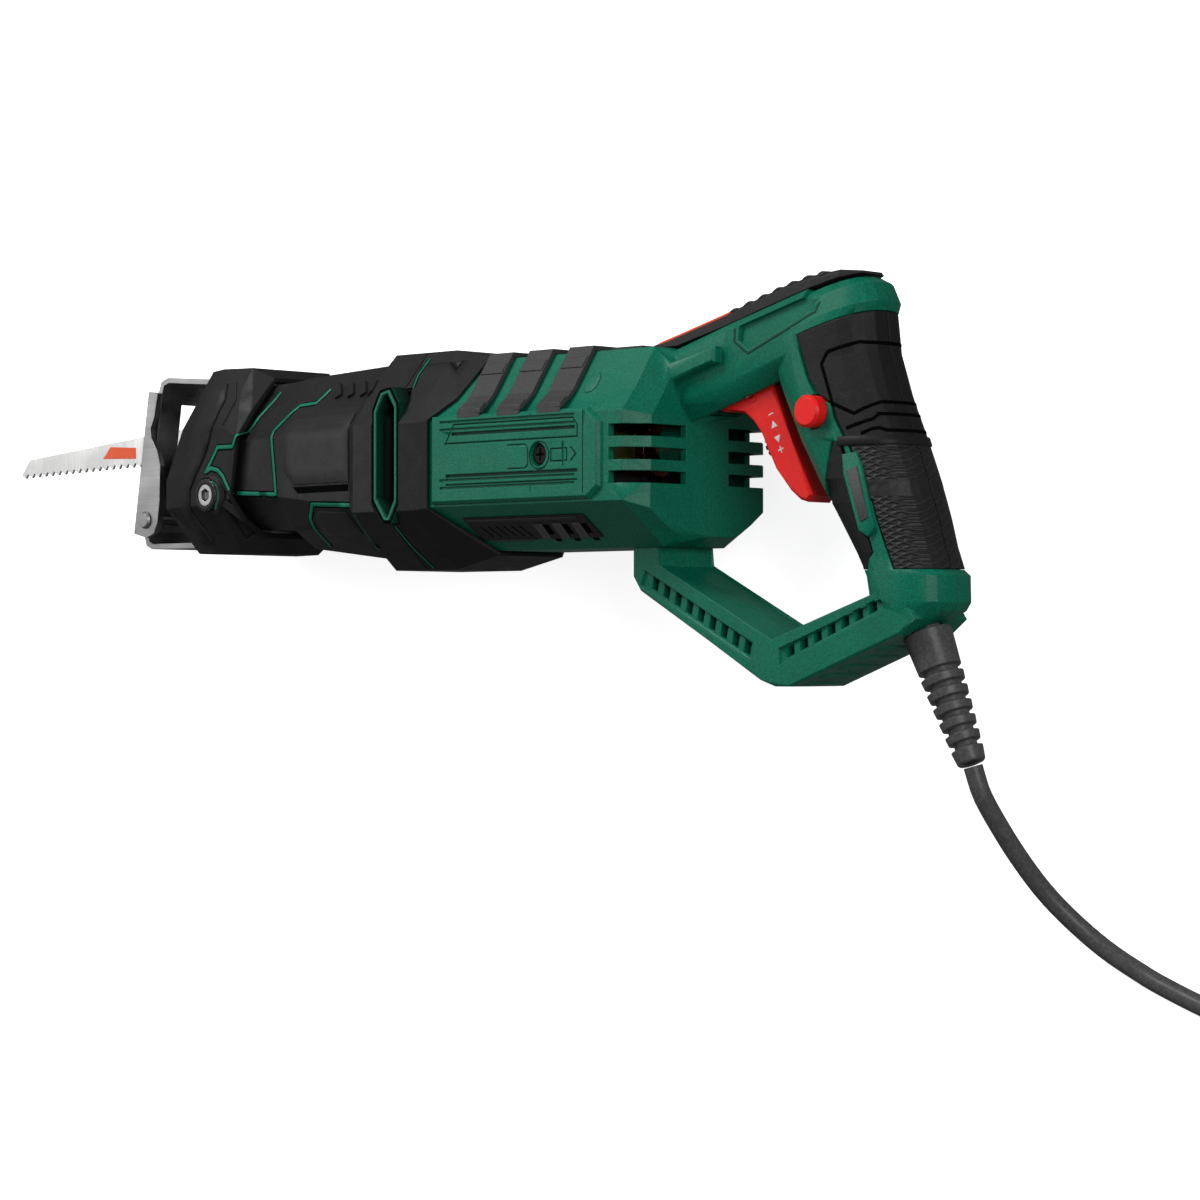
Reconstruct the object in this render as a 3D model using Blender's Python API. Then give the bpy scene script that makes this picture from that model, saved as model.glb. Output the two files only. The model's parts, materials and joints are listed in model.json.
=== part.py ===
"""Reciprocating saw with its cord, lying on its right side.

The tool is modelled upright, in millimetres: X runs from the blade (-X) back to the handle,
Y is across the tool with its left side at -Y, Z is up, and the motor turns on the X axis.
The empty TOOL lays that frame on its right side and scales nothing: meshes are in metres.
"""

import math

import bmesh
import bpy
from mathutils import Matrix, Vector

MM = 0.001
GAP = 0.3  # between pieces that touch

# Driving dimensions, in millimetres
HALF_WIDTH = 42.0  # widest side faces, the right one resting on the floor
BLADE_TIP_X = -375.0
HANDLE_REAR_X = 177.5
GUARD_BOTTOM_Z = -90.5
PAD_TOP_Z = 61.5
PLUNGER_Z = 12.0
STROKE = 20.0
GEAR_X = -80.0
CRANK_RADIUS = STROKE / 2
SPLIT_X = -79.0  # front cover meets the motor collar
ARM_HALF = 15.5  # half width of the upper arm and of the guard
SHOE_LEAN = math.radians(9.3)
SHOE_PIN_X, SHOE_PIN_Z = -255.0, -20.5
TRIGGER_PIVOT = (84.5, 0.0, 19.0)
DIAL_CENTRE = (95.8, 0.0, 1.0)
DIAL_RADIUS = 7.2
BUTTON_X, BUTTON_Z = 125.0, 9.5
BUTTON_RADIUS = 6.0
CORD_DIAMETER = 7.0

GREEN = (0.010, 0.120, 0.075)
BLACK = (0.022, 0.022, 0.023)
RUBBER = (0.016, 0.016, 0.017)
RED = (0.72, 0.035, 0.028)
STEEL = (0.55, 0.55, 0.55)
ALUMINIUM = (0.62, 0.63, 0.64)
COPPER = (0.60, 0.22, 0.09)
BRASS = (0.62, 0.45, 0.18)
CARBON = (0.03, 0.03, 0.03)
GREY = (0.12, 0.12, 0.125)


# ---------------------------------------------------------------- scene and materials

for old in list(bpy.data.objects):
    bpy.data.objects.remove(old)

TOOL = bpy.data.objects.new("tool_frame", None)
bpy.context.scene.collection.objects.link(TOOL)
TOOL.rotation_euler = (-math.pi / 2, 0, 0)
TOOL.location = (
    -(BLADE_TIP_X + HANDLE_REAR_X) / 2 * MM,
    -(GUARD_BOTTOM_Z + PAD_TOP_Z) / 2 * MM,
    HALF_WIDTH * MM,
)


def material(name, colour, roughness, metallic):
    made = bpy.data.materials.new(name)
    made.use_nodes = True
    shader = made.node_tree.nodes["Principled BSDF"]
    shader.inputs["Base Color"].default_value = (*colour, 1)
    shader.inputs["Roughness"].default_value = roughness
    shader.inputs["Metallic"].default_value = metallic
    made.diffuse_color = (*colour, 1)
    return made


def place(name, bm, colour=GREY, roughness=0.5, metallic=0.0, origin=(0, 0, 0), smooth=None):
    """An object in the tool frame from a bmesh in millimetres, its origin at the given point."""
    bmesh.ops.recalc_face_normals(bm, faces=bm.faces)
    bmesh.ops.translate(bm, verts=bm.verts, vec=-Vector(origin))
    bmesh.ops.scale(bm, verts=bm.verts, vec=(MM, MM, MM))
    mesh = bpy.data.meshes.new(name)
    bm.to_mesh(mesh)
    bm.free()
    if smooth is not None:
        mesh.shade_smooth()
        mesh.set_sharp_from_angle(angle=math.radians(smooth))
    mesh.materials.append(material(name, colour, roughness, metallic))
    obj = bpy.data.objects.new(name, mesh)
    bpy.context.scene.collection.objects.link(obj)
    obj.parent = TOOL
    obj.location = Vector(origin) * MM
    return obj


def cutter(name, bm):
    obj = place(name, bm)
    obj.hide_render = True
    obj.display_type = "WIRE"
    return obj


# The exact solver leaves open edges in the housing halves
NEEDS_MANIFOLD = {"housing_left", "housing_right"}


def boolean(obj, operation, other):
    modifier = obj.modifiers.new(operation.lower() + "_" + other.name, "BOOLEAN")
    modifier.operation = operation
    modifier.object = other
    if obj.name in NEEDS_MANIFOLD:
        modifier.solver = "MANIFOLD"


def cut(obj, *cutters):
    for other in cutters:
        boolean(obj, "DIFFERENCE", other)


def join(obj, *others):
    for other in others:
        boolean(obj, "UNION", other)


# ---------------------------------------------------------------- shape tools

def loft(rings, closed=False):
    """Rings of points bridged one to the next: capped at both ends, or joined last to first."""
    bm = bmesh.new()
    loops = [[bm.verts.new(point) for point in ring] for ring in rings]
    pairs = list(zip(loops, loops[1:]))
    if closed:
        pairs.append((loops[-1], loops[0]))
    else:
        bm.faces.new(loops[0][::-1])
        bm.faces.new(loops[-1])
    count = len(loops[0])
    for first, second in pairs:
        for i in range(count):
            j = (i + 1) % count
            bm.faces.new((first[i], first[j], second[j], second[i]))
    return bm


def prism(outline, y0, y1, bevel=0.0):
    """An outline of (x, z) points run across the tool from y0 to y1, its long edges bevelled."""
    bm = loft([[(x, y0, z) for x, z in outline], [(x, y1, z) for x, z in outline]])
    if bevel:
        rims = [e for e in bm.edges if abs(e.verts[0].co.y - e.verts[1].co.y) < 1e-6]
        bmesh.ops.bevel(bm, geom=rims, offset=bevel, segments=1, affect="EDGES")
    return bm


def box(low, high):
    return prism([(low[0], low[2]), (high[0], low[2]), (high[0], high[2]), (low[0], high[2])],
                 low[1], high[1])


def merged(parts):
    """Several separate closed shapes in one bmesh, for a cutter."""
    bm = bmesh.new()
    for part in parts:
        mesh = bpy.data.meshes.new("part")
        part.to_mesh(mesh)
        part.free()
        bm.from_mesh(mesh)
        bpy.data.meshes.remove(mesh)
    return bm


def mirrored(bm):
    """The same shape on the other side of the tool."""
    bmesh.ops.scale(bm, verts=bm.verts, vec=(1, -1, 1))
    bmesh.ops.reverse_faces(bm, faces=bm.faces)
    return bm


def on_axis(axis, along, radius, angle, centre):
    u, v = radius * math.cos(angle), radius * math.sin(angle)
    spot = {"X": (along, u, v), "Y": (v, along, u), "Z": (u, v, along)}[axis]
    return Vector(spot) + Vector(centre)


def turned(profile, axis, centre=(0, 0, 0), sides=24, bored=False, turn=0.0):
    """A profile of (along, radius) points turned round an axis; a bored one joins last to first."""
    rings = [
        [on_axis(axis, along, radius, turn + math.tau * i / sides, centre) for i in range(sides)]
        for along, radius in profile
    ]
    return loft(rings, bored)


def tube(axis, a0, a1, outer, inner, centre=(0, 0, 0), sides=24):
    profile = [(a0, inner), (a0, outer), (a1, outer), (a1, inner)]
    return turned(profile, axis, centre, sides, bored=True)


def toothed(axis, a0, a1, tip, root, bore, teeth, share, centre=(0, 0, 0), turn=0.0):
    """A ring with teeth on its rim; share is the part of the pitch that a tooth takes."""
    corners = [(-share / 2, tip), (share / 2, tip), (share / 2 + 0.06, root), (0.94 - share / 2, root)]
    rings = []
    for along, inner in ((a0, True), (a0, False), (a1, False), (a1, True)):
        ring = []
        for tooth in range(teeth):
            for offset, radius in corners:
                angle = turn + math.tau * (tooth + offset) / teeth
                ring.append(on_axis(axis, along, bore if inner else radius, angle, centre))
        rings.append(ring)
    return loft(rings, closed=True)


def sector(r0, r1, start, end, x0, x1, steps=8):
    """A piece of a tube round the motor axis between two angles in degrees."""
    angles = [math.radians(start + (end - start) * i / steps) for i in range(steps + 1)]
    arc = [on_axis("X", 0, r1, a, (0, 0, 0)) for a in angles]
    arc += [on_axis("X", 0, r0, a, (0, 0, 0)) for a in reversed(angles)]
    return loft([[p + Vector((x, 0, 0)) for p in arc] for x in (x0, x1)])


# ---------------------------------------------------------------- housing sections
# Half outlines from top to bottom as (y, z), or (x, y, z) where the edge isn't square.

BODY = [(22, 37.5), (33, 21), (40, 13), (40, -21), (28.5, -29.5), (17, -38)]
REAR = [(17, 31), (25, 19), (31, 11), (32, -24), (25, -29), (16, -34)]
COLLAR = [(18, 43), (34, 24), (42, 13), (42, -22), (31, -33.5), (18, -45)]
STEP = [(17, 39), (32, 22), (38.5, 13), (38.5, -19), (29, -30), (17, -40)]
WAIST = [(17, 36.7), (29, 22), (35, 12), (35, -14), (28, -27), (16, -35)]
NECK = [(16, 35.5), (27.5, 21), (33.5, 11), (33.5, -12), (27, -21), (15, -27)]
NOSE = [(15, 34), (24.5, 20), (29.6, 10), (29.0, -12), (22.6, -18.0), (14, -25.5)]


def scaled(half, factor):
    return [tuple(value * factor for value in point[-2:]) for point in half]


def ring(half, x=None):
    """A whole ring of points from a half outline, left side first."""
    points = [(x, *p) if len(p) == 2 else p for p in half]
    left = [Vector((px, -py, pz)) for px, py, pz in points]
    right = [Vector((px, py, pz)) for px, py, pz in reversed(points)]
    return left + right


def with_x(half, places):
    return [(x, *point) for x, point in zip(places, half)]


# ---------------------------------------------------------------- handle
# Level sections of the handle: height, front, rear and half width.

HANDLE = [
    (-66.5, 149.0, 170.0, 13.0),
    (-63.0, 145.5, 175.5, 15.5),
    (-60.0, 143.5, 177.5, 16.5),
    (-50.5, 141.5, 177.5, 16.5),
    (-48.5, 140.5, 175.0, 16.2),
    (-42.0, 137.0, 172.5, 16.0),
    (-30.0, 129.5, 169.0, 17.0),
    (-15.0, 119.5, 164.0, 17.8),
    (0.0, 110.5, 158.0, 17.8),
    (15.0, 103.0, 151.5, 17.4),
    (31.0, 98.0, 146.5, 16.8),
    (46.0, 97.0, 145.0, 16.4),
    (49.5, 97.0, 146.5, 16.2),
    (57.0, 97.0, 143.5, 15.0),
    (60.5, 100.0, 139.0, 12.5),
]
SQUARENESS = 2.6  # exponent of the section's outline
TOP_TILT = 0.27  # the handle's top end rises backwards, measured from x = 145


def handle_section(z):
    for low, high in zip(HANDLE, HANDLE[1:]):
        if z <= high[0]:
            share = max(0.0, (z - low[0]) / (high[0] - low[0]))
            return [a + (b - a) * share for a, b in zip(low[1:], high[1:])]
    return list(HANDLE[-1][1:])


def handle_point(z, angle, inset):
    """A point of the handle's surface; angle 0 is the rear, 90 the left side, 180 the front."""
    front, rear, half = handle_section(z)
    c, s = math.cos(math.radians(angle)), math.sin(math.radians(angle))
    x = (front + rear) / 2 + ((rear - front) / 2 - inset) * math.copysign(abs(c) ** (2 / SQUARENESS), c)
    y = -(half - inset) * math.copysign(abs(s) ** (2 / SQUARENESS), s)
    tilt = TOP_TILT * max(0.0, min(1.0, (z - 20) / 25))
    return Vector((x, y, z + tilt * (x - 145)))


def angle_at(z, x):
    """The angle at which the handle's left surface passes the place x."""
    front, rear, _ = handle_section(z)
    share = (x - (front + rear) / 2) / ((rear - front) / 2)
    share = max(-1.0, min(1.0, share))
    return math.degrees(math.acos(math.copysign(abs(share) ** (SQUARENESS / 2), share)))


def along(table, z):
    """The value at a height in a table of (height, value) rows that runs downwards."""
    for high, low in zip(table, table[1:]):
        if z >= low[0]:
            share = (high[0] - z) / (high[0] - low[0])
            return high[1] + (low[1] - high[1]) * share
    return table[-1][1]


def pad_rows(heights, rear_edge, front_edge, columns=6):
    """Rows of a pad as (height, angles from its rear edge to its front edge)."""
    rows = []
    for z in heights:
        start, end = rear_edge(z), front_edge(z)
        rows.append((z, [start + (end - start) * i / columns for i in range(columns + 1)]))
    return rows


def grown_rows(rows, grow):
    """The rows with one more all round: a gap higher and lower, and some degrees wider."""
    wide = [(z, [angles[0] - grow, *angles, angles[-1] + grow]) for z, angles in rows]
    return [(wide[0][0] + GAP, wide[0][1]), *wide, (wide[-1][0] - GAP, wide[-1][1])]


def pad_shell(rows, outer, inner):
    """A patch of the handle's left surface as a closed sheet between two insets."""
    bm = bmesh.new()
    verts = [[[bm.verts.new(handle_point(z, angle, inset)) for angle in angles] for z, angles in rows]
             for inset in (outer, inner)]
    last, columns = len(rows) - 1, len(rows[0][1]) - 1
    for layer in verts:
        for r in range(last):
            for c in range(columns):
                bm.faces.new((layer[r][c], layer[r][c + 1], layer[r + 1][c + 1], layer[r + 1][c]))
    rim = [(0, c) for c in range(columns)] + [(r, columns) for r in range(last)]
    rim += [(last, c) for c in range(columns, 0, -1)] + [(r, 0) for r in range(last, 0, -1)]
    for (r0, c0), (r1, c1) in zip(rim, rim[1:] + rim[:1]):
        bm.faces.new((verts[0][r0][c0], verts[0][r1][c1], verts[1][r1][c1], verts[1][r0][c0]))
    return bm


SEAM_ANGLE = 0.35  # half the seam between left and right pads
UPPER_FRONT = [(46, 116.0), (40, 117.3), (22, 122.6), (16, 127.0), (12, 134.0), (7, 135.5), (-1, 140.5)]
REAR_FRONT = [(-2, 141.5), (-17, 149.5), (-20, 148.0), (-24, 152.5), (-36, 156.0), (-48, 161.5)]
FRONT_REAR = [(-1, 136.5), (-9, 139.5), (-30, 146.5), (-42, 150.5), (-50, 146.0)]
FRONT_FRONT = [(-1, 135.0), (-24, 126.5), (-27, 120.0)]
PADS = {
    "grip_pad_upper": (
        [46, 40, 31, 22, 16, 12, 7, -1],
        lambda z: SEAM_ANGLE,
        lambda z: angle_at(z, along(UPPER_FRONT, z)),
    ),
    "grip_pad_rear": (
        [-2.5, -9, -17, -20, -24, -30, -40, -48],
        lambda z: SEAM_ANGLE,
        lambda z: angle_at(z, along(REAR_FRONT, z)),
    ),
    "grip_pad_front": (
        [-2, -9, -15, -24, -27, -36, -42, -48],
        lambda z: angle_at(z, along(FRONT_REAR, z)),
        lambda z: 180 - SEAM_ANGLE if z < -26 else angle_at(z, along(FRONT_FRONT, z)),
    ),
}
PAD_DEPTH = 2.0
PAD_GROW = 2.6  # degrees that a pad's pocket is wider at each edge
POCKET_ABOVE = 4.0  # how far a pocket's cutter stands out of the handle
POCKET_GAP = 0.4  # between a pad and the bottom of its pocket


def make_grip_pads():
    pockets = []
    for name, edges in PADS.items():
        rows = pad_rows(*edges)
        for side in ("left", "right"):
            bm = pad_shell(rows, 0.0, PAD_DEPTH)
            place(f"{name}_{side}", bm if side == "left" else mirrored(bm), RUBBER, 0.6, smooth=40)
        pockets.append(pad_shell(grown_rows(rows, PAD_GROW), -POCKET_ABOVE, PAD_DEPTH + POCKET_GAP))
    return pockets


# ---------------------------------------------------------------- housing halves

VENT_HEIGHTS = [5.4, -3.4, -12.2]
VENT_HALF = 2.3


def arm_section(x, top, low, inset=0.0):
    half = ARM_HALF - inset
    outline = [(-half + 3, top + 1.2 - inset), (-half, top - 1.8 - inset), (-half, low),
               (-9.5 + inset, low - 6.5 + inset)]
    left = [Vector((x, y, z)) for y, z in outline]
    return left + [Vector((x, -p.y, p.z)) for p in reversed(left)]


def guard_outline():
    """Side view of the hand guard: a post, a falling bar and a bar that rises to the handle."""
    return [
        (32.2, -30), (32.2, -49), (36, -54.5), (97.5, -88.2), (104, GUARD_BOTTOM_Z),
        (112, GUARD_BOTTOM_Z), (163, -71.5), (170, -66), (160, -52), (150, -58),
        (102.5, -74), (45.6, -45.3), (45.6, -30),
    ]


def bar_pockets(start, end, depth_low, count, share, slant):
    """Small pockets in a row between two places on the guard's side, leaving ribs between."""
    pockets = []
    run = (Vector(end) - Vector(start)) / count
    for i in range(count):
        corner = Vector(start) + run * (i + (1 - share) / 2)
        across = run * share
        up = Vector(slant)
        outline = [corner, corner + across, corner + across + up, corner + up]
        pockets.append(prism([tuple(p) for p in outline], -ARM_HALF - 2, -ARM_HALF + depth_low))
    return pockets


def side_details():
    """Cuts in the left side of the housing; the right side takes their mirror image."""
    cuts = []
    for z in VENT_HEIGHTS:
        cuts.append(box((43, -46, z - VENT_HALF), (62, -12, z + VENT_HALF)))
    pill = [(86.9, 43.2), (119.5, 52.0), (123.8, 49.8), (122.7, 47.2), (91.4, 34.6), (86.3, 38.1)]
    cuts.append(prism(pill, -ARM_HALF - 2, -ARM_HALF + 1.6))
    first = [(38.7, -46.8), (93.5, -74.3), (93.5, -82.0), (36.4, -52.4)]
    second = [(105.9, -76.6), (154.7, -58.8), (156.4, -60.5), (154.7, -63.1), (106.3, -82.4)]
    cuts.append(prism(first, -ARM_HALF - 2, -ARM_HALF + 1.0))
    cuts.append(prism(second, -ARM_HALF - 2, -ARM_HALF + 1.0))
    for z in (11.6, 8.6, -11.2, -14.2):
        cuts.append(box((-47, -HALF_WIDTH - 1, z), (27, -HALF_WIDTH + 0.8, z + 0.9)))
    cuts.append(prism([(20.5, 2.2), (21.3, 2.2), (21.3, -7.2), (20.5, -7.2)],
                      -HALF_WIDTH - 1, -HALF_WIDTH + 0.6))
    return cuts


def guard_bars():
    """Pockets in the floors of the guard's two recesses, with ribs left between them."""
    front = bar_pockets((40.0, -53.0), (92.5, -80.2), 5.0, 9, 0.52, (1.2, 4.9))
    rear = bar_pockets((108.0, -80.6), (153.5, -62.3), 5.0, 7, 0.6, (-0.4, 3.8))
    return front + rear


def solid_housing():
    """The outer shape of both housing halves in one, with the hollow inside it cut out."""
    body = place("housing_left", loft([
        ring(BODY, SPLIT_X + 3), ring(BODY, 50), ring(REAR, 57),
    ]), GREEN, 0.45)
    arm = cutter("arm_shape", loft([
        arm_section(24, 27, 6), arm_section(80, 43.5, 22.3), arm_section(118, 53.8, 34.4),
    ]))
    heights = [row[0] for row in HANDLE]
    handle = cutter("handle_shape", loft([
        [handle_point(z, -15 * i, 0) for i in range(24)] for z in heights
    ]))
    guard = cutter("guard_shape", prism(guard_outline(), -ARM_HALF, ARM_HALF, 0.8))
    panel = [(-52.5, 14.5), (33.5, 14.5), (39.5, 9), (39.5, -15.5), (33.5, -20), (-52.5, -20)]
    panels = cutter("panel_shape", prism(panel, -HALF_WIDTH, HALF_WIDTH, 1.2))
    wedge = [(45.6, 29.0), (78.3, 36.2), (77.8, 30.2), (50.8, 22.6)]
    wedges = cutter("wedge_shape", prism(wedge, -20, 20, 1.0))
    join(body, arm, handle, guard, panels, wedges)
    return body


def housing_hollow():
    motor_bay = cutter("motor_bay", loft([
        ring(scaled(BODY, 0.925), SPLIT_X - 5), ring(scaled(BODY, 0.925), 49),
        ring(scaled(REAR, 0.88), 54),
    ]))
    arm_duct = cutter("arm_duct", loft([
        arm_section(49, 32, 18, 3.2), arm_section(118, 50.8, 36.5, 3.2),
    ]))
    heights = [-58, -48.5, -30, -15, 0, 15, 31, 45]
    handle_bay = cutter("handle_bay", loft([
        [handle_point(z, -15 * i, 5.0) for i in range(24)] for z in heights
    ]))
    pocket = [(64, 12), (64, 22), (84, 29), (104, 31), (122, 27), (130, -18), (124, -31),
              (104, -31), (80, 0)]
    trigger_bay = cutter("trigger_bay", prism(pocket, -7.8, 7.8))
    return [motor_bay, arm_duct, handle_bay, trigger_bay]


def half_space(side):
    low, high = (-200, -0.15) if side == "left" else (0.15, 200)
    return box((-400, low, -300), (400, high, 300))


def make_housing(pockets):
    left = solid_housing()
    cut(left, *housing_hollow())
    seat = cutter("bearing_boss", tube("X", 41.5, 54.5, 11, 8.4, sides=24))
    join(left, seat)
    cut(left, cutter("sleeve_hole", sleeve_turned([(-14, 6.2), (0.9, 6.2), (0.9, 9.4), (8, 9.4)])))
    cut(left, cutter("pin_hole", turned([(-9.6, 2.4), (9.6, 2.4)], "Y", TRIGGER_PIVOT, 16)))
    right = left.copy()
    right.data = left.data.copy()
    right.name = "housing_right"
    bpy.context.scene.collection.objects.link(right)
    shapes = {
        "details": merged(side_details()),
        "bars": merged(guard_bars()),
        "inlay_pocket": inlay_shape(3.0 + GAP, GAP),
    }
    shapes.update({f"pad_pocket_{i}": pocket for i, pocket in enumerate(pockets)})
    for name, shape in shapes.items():
        cut(left, cutter("left_" + name, shape.copy()))
        cut(right, cutter("right_" + name, mirrored(shape)))
    boolean(left, "INTERSECT", cutter("left_half", half_space("left")))
    boolean(right, "INTERSECT", cutter("right_half", half_space("right")))
    hole = BUTTON_RADIUS + 0.4
    cut(left, cutter("button_hole", turned([(-30, hole), (-5, hole)], "Y", (BUTTON_X, 0, BUTTON_Z), 20)))
    cut(left, cutter("screw_hole", turned([(-50, 4.6), (-30, 4.6)], "Y", (SCREW_X, 0, SCREW_Z), 20)))
    return {"left": left, "right": right}


# ---------------------------------------------------------------- trim on the housing

SCREW_X, SCREW_Z = 7.5, -2.5
INLAY_FROM, INLAY_TO = -41.8, 24.0
BAND_WIDTH = 13.0
BAND_STARTS = [-37.6, -15.6, 6.4]


def inlay_shape(depth, grow):
    """The block that fills the inlay's place on the left lower chamfer."""
    top, low = Vector((-34.0, -25.4)), Vector((-23.0, -33.6))
    run = (low - top).normalized()
    out = Vector((run.y, -run.x))
    top, low = top - run * grow, low + run * grow
    proud = 0.5 if grow == 0 else 3.0
    corners = [top + out * proud, low + out * proud, low - out * depth, top - out * depth]
    return loft([[(x, c.x, c.y) for c in corners] for x in (INLAY_FROM - grow, INLAY_TO + grow)])


def make_trim():
    for side in ("left", "right"):
        inlay = inlay_shape(3.0, 0.0)
        place(f"side_inlay_{side}", inlay if side == "left" else mirrored(inlay), BLACK, 0.5)
    outer = [(41.9, 15.3), (34.9, 22.1), (23.2, 39.7)]
    inner = [(22.2, 37.8), (33.3, 21.4), (40.6, 15.0)]
    arch = [(-y, z) for y, z in outer] + outer[::-1] + inner[::-1] + [(-y, z) for y, z in inner]
    first, *others = [loft([[(x, y, z) for y, z in arch], [(x + BAND_WIDTH, y, z) for y, z in arch]])
                      for x in BAND_STARTS]
    saddle = place("motor_saddle", first, BLACK, 0.5)
    for i, extra in enumerate(others):
        join(saddle, cutter(f"band_{i}", extra))
    join(saddle, cutter("band_rail", box((-37, -14, 37.8), (36, 14, 39.3))))
    stations = [(38, 38.0, 38.9, 12), (52, 38.2, 42.4, 12), (75.5, 43.9, 48.6, 12), (105, 52.1, 57.2, 12),
                (118, 55.5, 60.0, 12), (131, 58.6, PAD_TOP_Z, 11), (138, 60.0, 61.0, 7)]
    place("arm_pad", loft([
        [(x, -half, low), (x, -half, top - 1.2), (x, -half + 1.5, top),
         (x, half - 1.5, top), (x, half, top - 1.2), (x, half, low)]
        for x, low, top, half in stations
    ]), BLACK, 0.55)


def make_collar():
    rear = [(-38, 22.6, 38.9), (-46, 34, 22), (-54.8, 41.6, 13.5), (-54.8, 41.6, -21.5),
            (-46, 29.6, -31.2), (-38, 17.8, -39.8)]
    places = [point[0] for point in rear]
    inner = scaled(BODY, 1.01)
    return place("bumper_collar", loft([
        ring(inner, SPLIT_X + GAP), ring(COLLAR, SPLIT_X + GAP), ring(COLLAR, -62), ring(rear),
        ring(with_x(inner, places)),
    ], closed=True), RUBBER, 0.6)


SLOT_OUTLINE = [(-87, 20), (-83, 27), (-75, 28), (-71, 22), (-71, -20), (-75, -27), (-81, -27), (-87, -19)]


def slot_outline(shrink):
    centre_x, centre_z = SPLIT_X, 0.0
    return [(x - math.copysign(shrink, x - centre_x), z - math.copysign(shrink, z - centre_z))
            for x, z in SLOT_OUTLINE]


def make_slot_frames(collar, covers, halves):
    """Green frames of the side slots; each bridges the joint between cover, collar and housing."""
    for side, sign in (("left", -1), ("right", 1)):
        spans = sorted((sign * 34.0, sign * (HALF_WIDTH - 0.4)))
        frame = place(f"slot_frame_{side}", prism(slot_outline(GAP), *spans), GREEN, 0.45)
        reach = sorted((sign * 30.0, sign * 60.0))
        cut(frame, cutter(f"slot_air_{side}", prism(slot_outline(2.8), *reach)))
        opening = cutter(f"slot_opening_{side}", prism(slot_outline(0), *reach))
        for obj in (collar, covers[side], halves[side]):
            cut(obj, opening)


# ---------------------------------------------------------------- front covers and nose

COVER_STATIONS = [(SPLIT_X - GAP, COLLAR), (-98, COLLAR), (-104, STEP), (-150, WAIST), (-162, NECK),
                  (-205, NOSE)]
BOLT_X, BOLT_Z = -200.0, -11.5


def half_shell(stations, factor):
    """The left half of a hollow cover, open along the middle of the tool and at both ends."""
    rings = []
    for x, half in stations:
        inner = scaled(half, factor)
        edge = [(0.15, half[0][1]), *half, (0.15, half[-1][1])]
        back = [(0.15, inner[-1][1]), *reversed(inner), (0.15, inner[0][1])]
        rings.append([(x, -y, z) for y, z in edge + back])
    return loft(rings)


def make_front_covers():
    covers = {}
    for side in ("left", "right"):
        shell = half_shell(COVER_STATIONS, 0.92)
        covers[side] = place(f"front_cover_{side}", shell if side == "left" else mirrored(shell),
                             BLACK, 0.5)
    front = [(-211, 21, 42.3), (-217, 23, 32), (-228, 24, 18), (-238.5, 24.5, -4), (-238.5, 24.5, -16),
             (-220, 21, -36)]
    front_inner = [(-211, 19.9, 40.0), (-217, 20.6, 31), (-228, 21, 17), (-238, 21, -4), (-238, 21, -15),
                   (-220, 19.9, -33.7)]
    rim = [(-203, 21.5, 43), (-205, 27, 33), (-209, 31.5, 18), (-213, 33, -4), (-214, 33, -16),
           (-206, 22, -36.5)]
    rim_inner = [(-204, 20, 40), (-206, 24.5, 31), (-210, 28.5, 17), (-213, 30, -4), (-214, 30, -15),
                 (-207, 20, -33.9)]
    back = [(-184, 21.5, 42.5), (-184, 28, 32), (-186, 34.5, 16), (-190, 35, -6), (-190, 34.5, -16),
            (-191, 21.5, -36.2)]
    back_inner = [(-185, 20, 39.9), (-185, 25.5, 30), (-187, 32.0, 16), (-190, 33.2, -6), (-190, 33.0, -15),
                  (-191, 20, -33.9)]
    tail = [(-175, 17, 38), (-176, 29, 24), (-178, 36, 12), (-182, 36, -12.5), (-181, 29.5, -23.5),
            (-183, 16.6, -29.8)]
    tail_inner = with_x(scaled(NECK, 1.02), [point[0] for point in tail])
    boot = place("nose_boot", loft([
        ring(outline) for outline in (front_inner, front, rim, back, tail, tail_inner, back_inner,
                                      rim_inner)
    ], closed=True), RUBBER, 0.6)
    well = cutter("bolt_well", turned([(-50, 7.3), (-20, 7.3)], "Y", (BOLT_X, 0, BOLT_Z), 20))
    cut(boot, well)
    shank = cutter("bolt_shank_hole", turned([(-50, 3.4), (-10, 3.4)], "Y", (BOLT_X, 0, BOLT_Z), 16))
    cut(covers["left"], shank)
    bolt = place("shoe_bolt", turned([(-34.6, 6.0), (-34.6, 6.8), (-31.8, 6.8), (-31.8, 3.0), (-22, 3.0)],
                                     "Y", (BOLT_X, 0, BOLT_Z), 20), STEEL, 0.35, 1.0, smooth=40)
    cut(bolt, cutter("hex_socket", turned([(-40, 2.9), (-32.2, 2.9)], "Y", (BOLT_X, 0, BOLT_Z), 6)))
    return covers


# ---------------------------------------------------------------- shoe

def lean(back, up):
    """A point of the shoe's side view, from its pin: back along the tool and up the plate."""
    c, s = math.cos(SHOE_LEAN), math.sin(SHOE_LEAN)
    return (SHOE_PIN_X + back * c + up * s, SHOE_PIN_Z - back * s + up * c)


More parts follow.
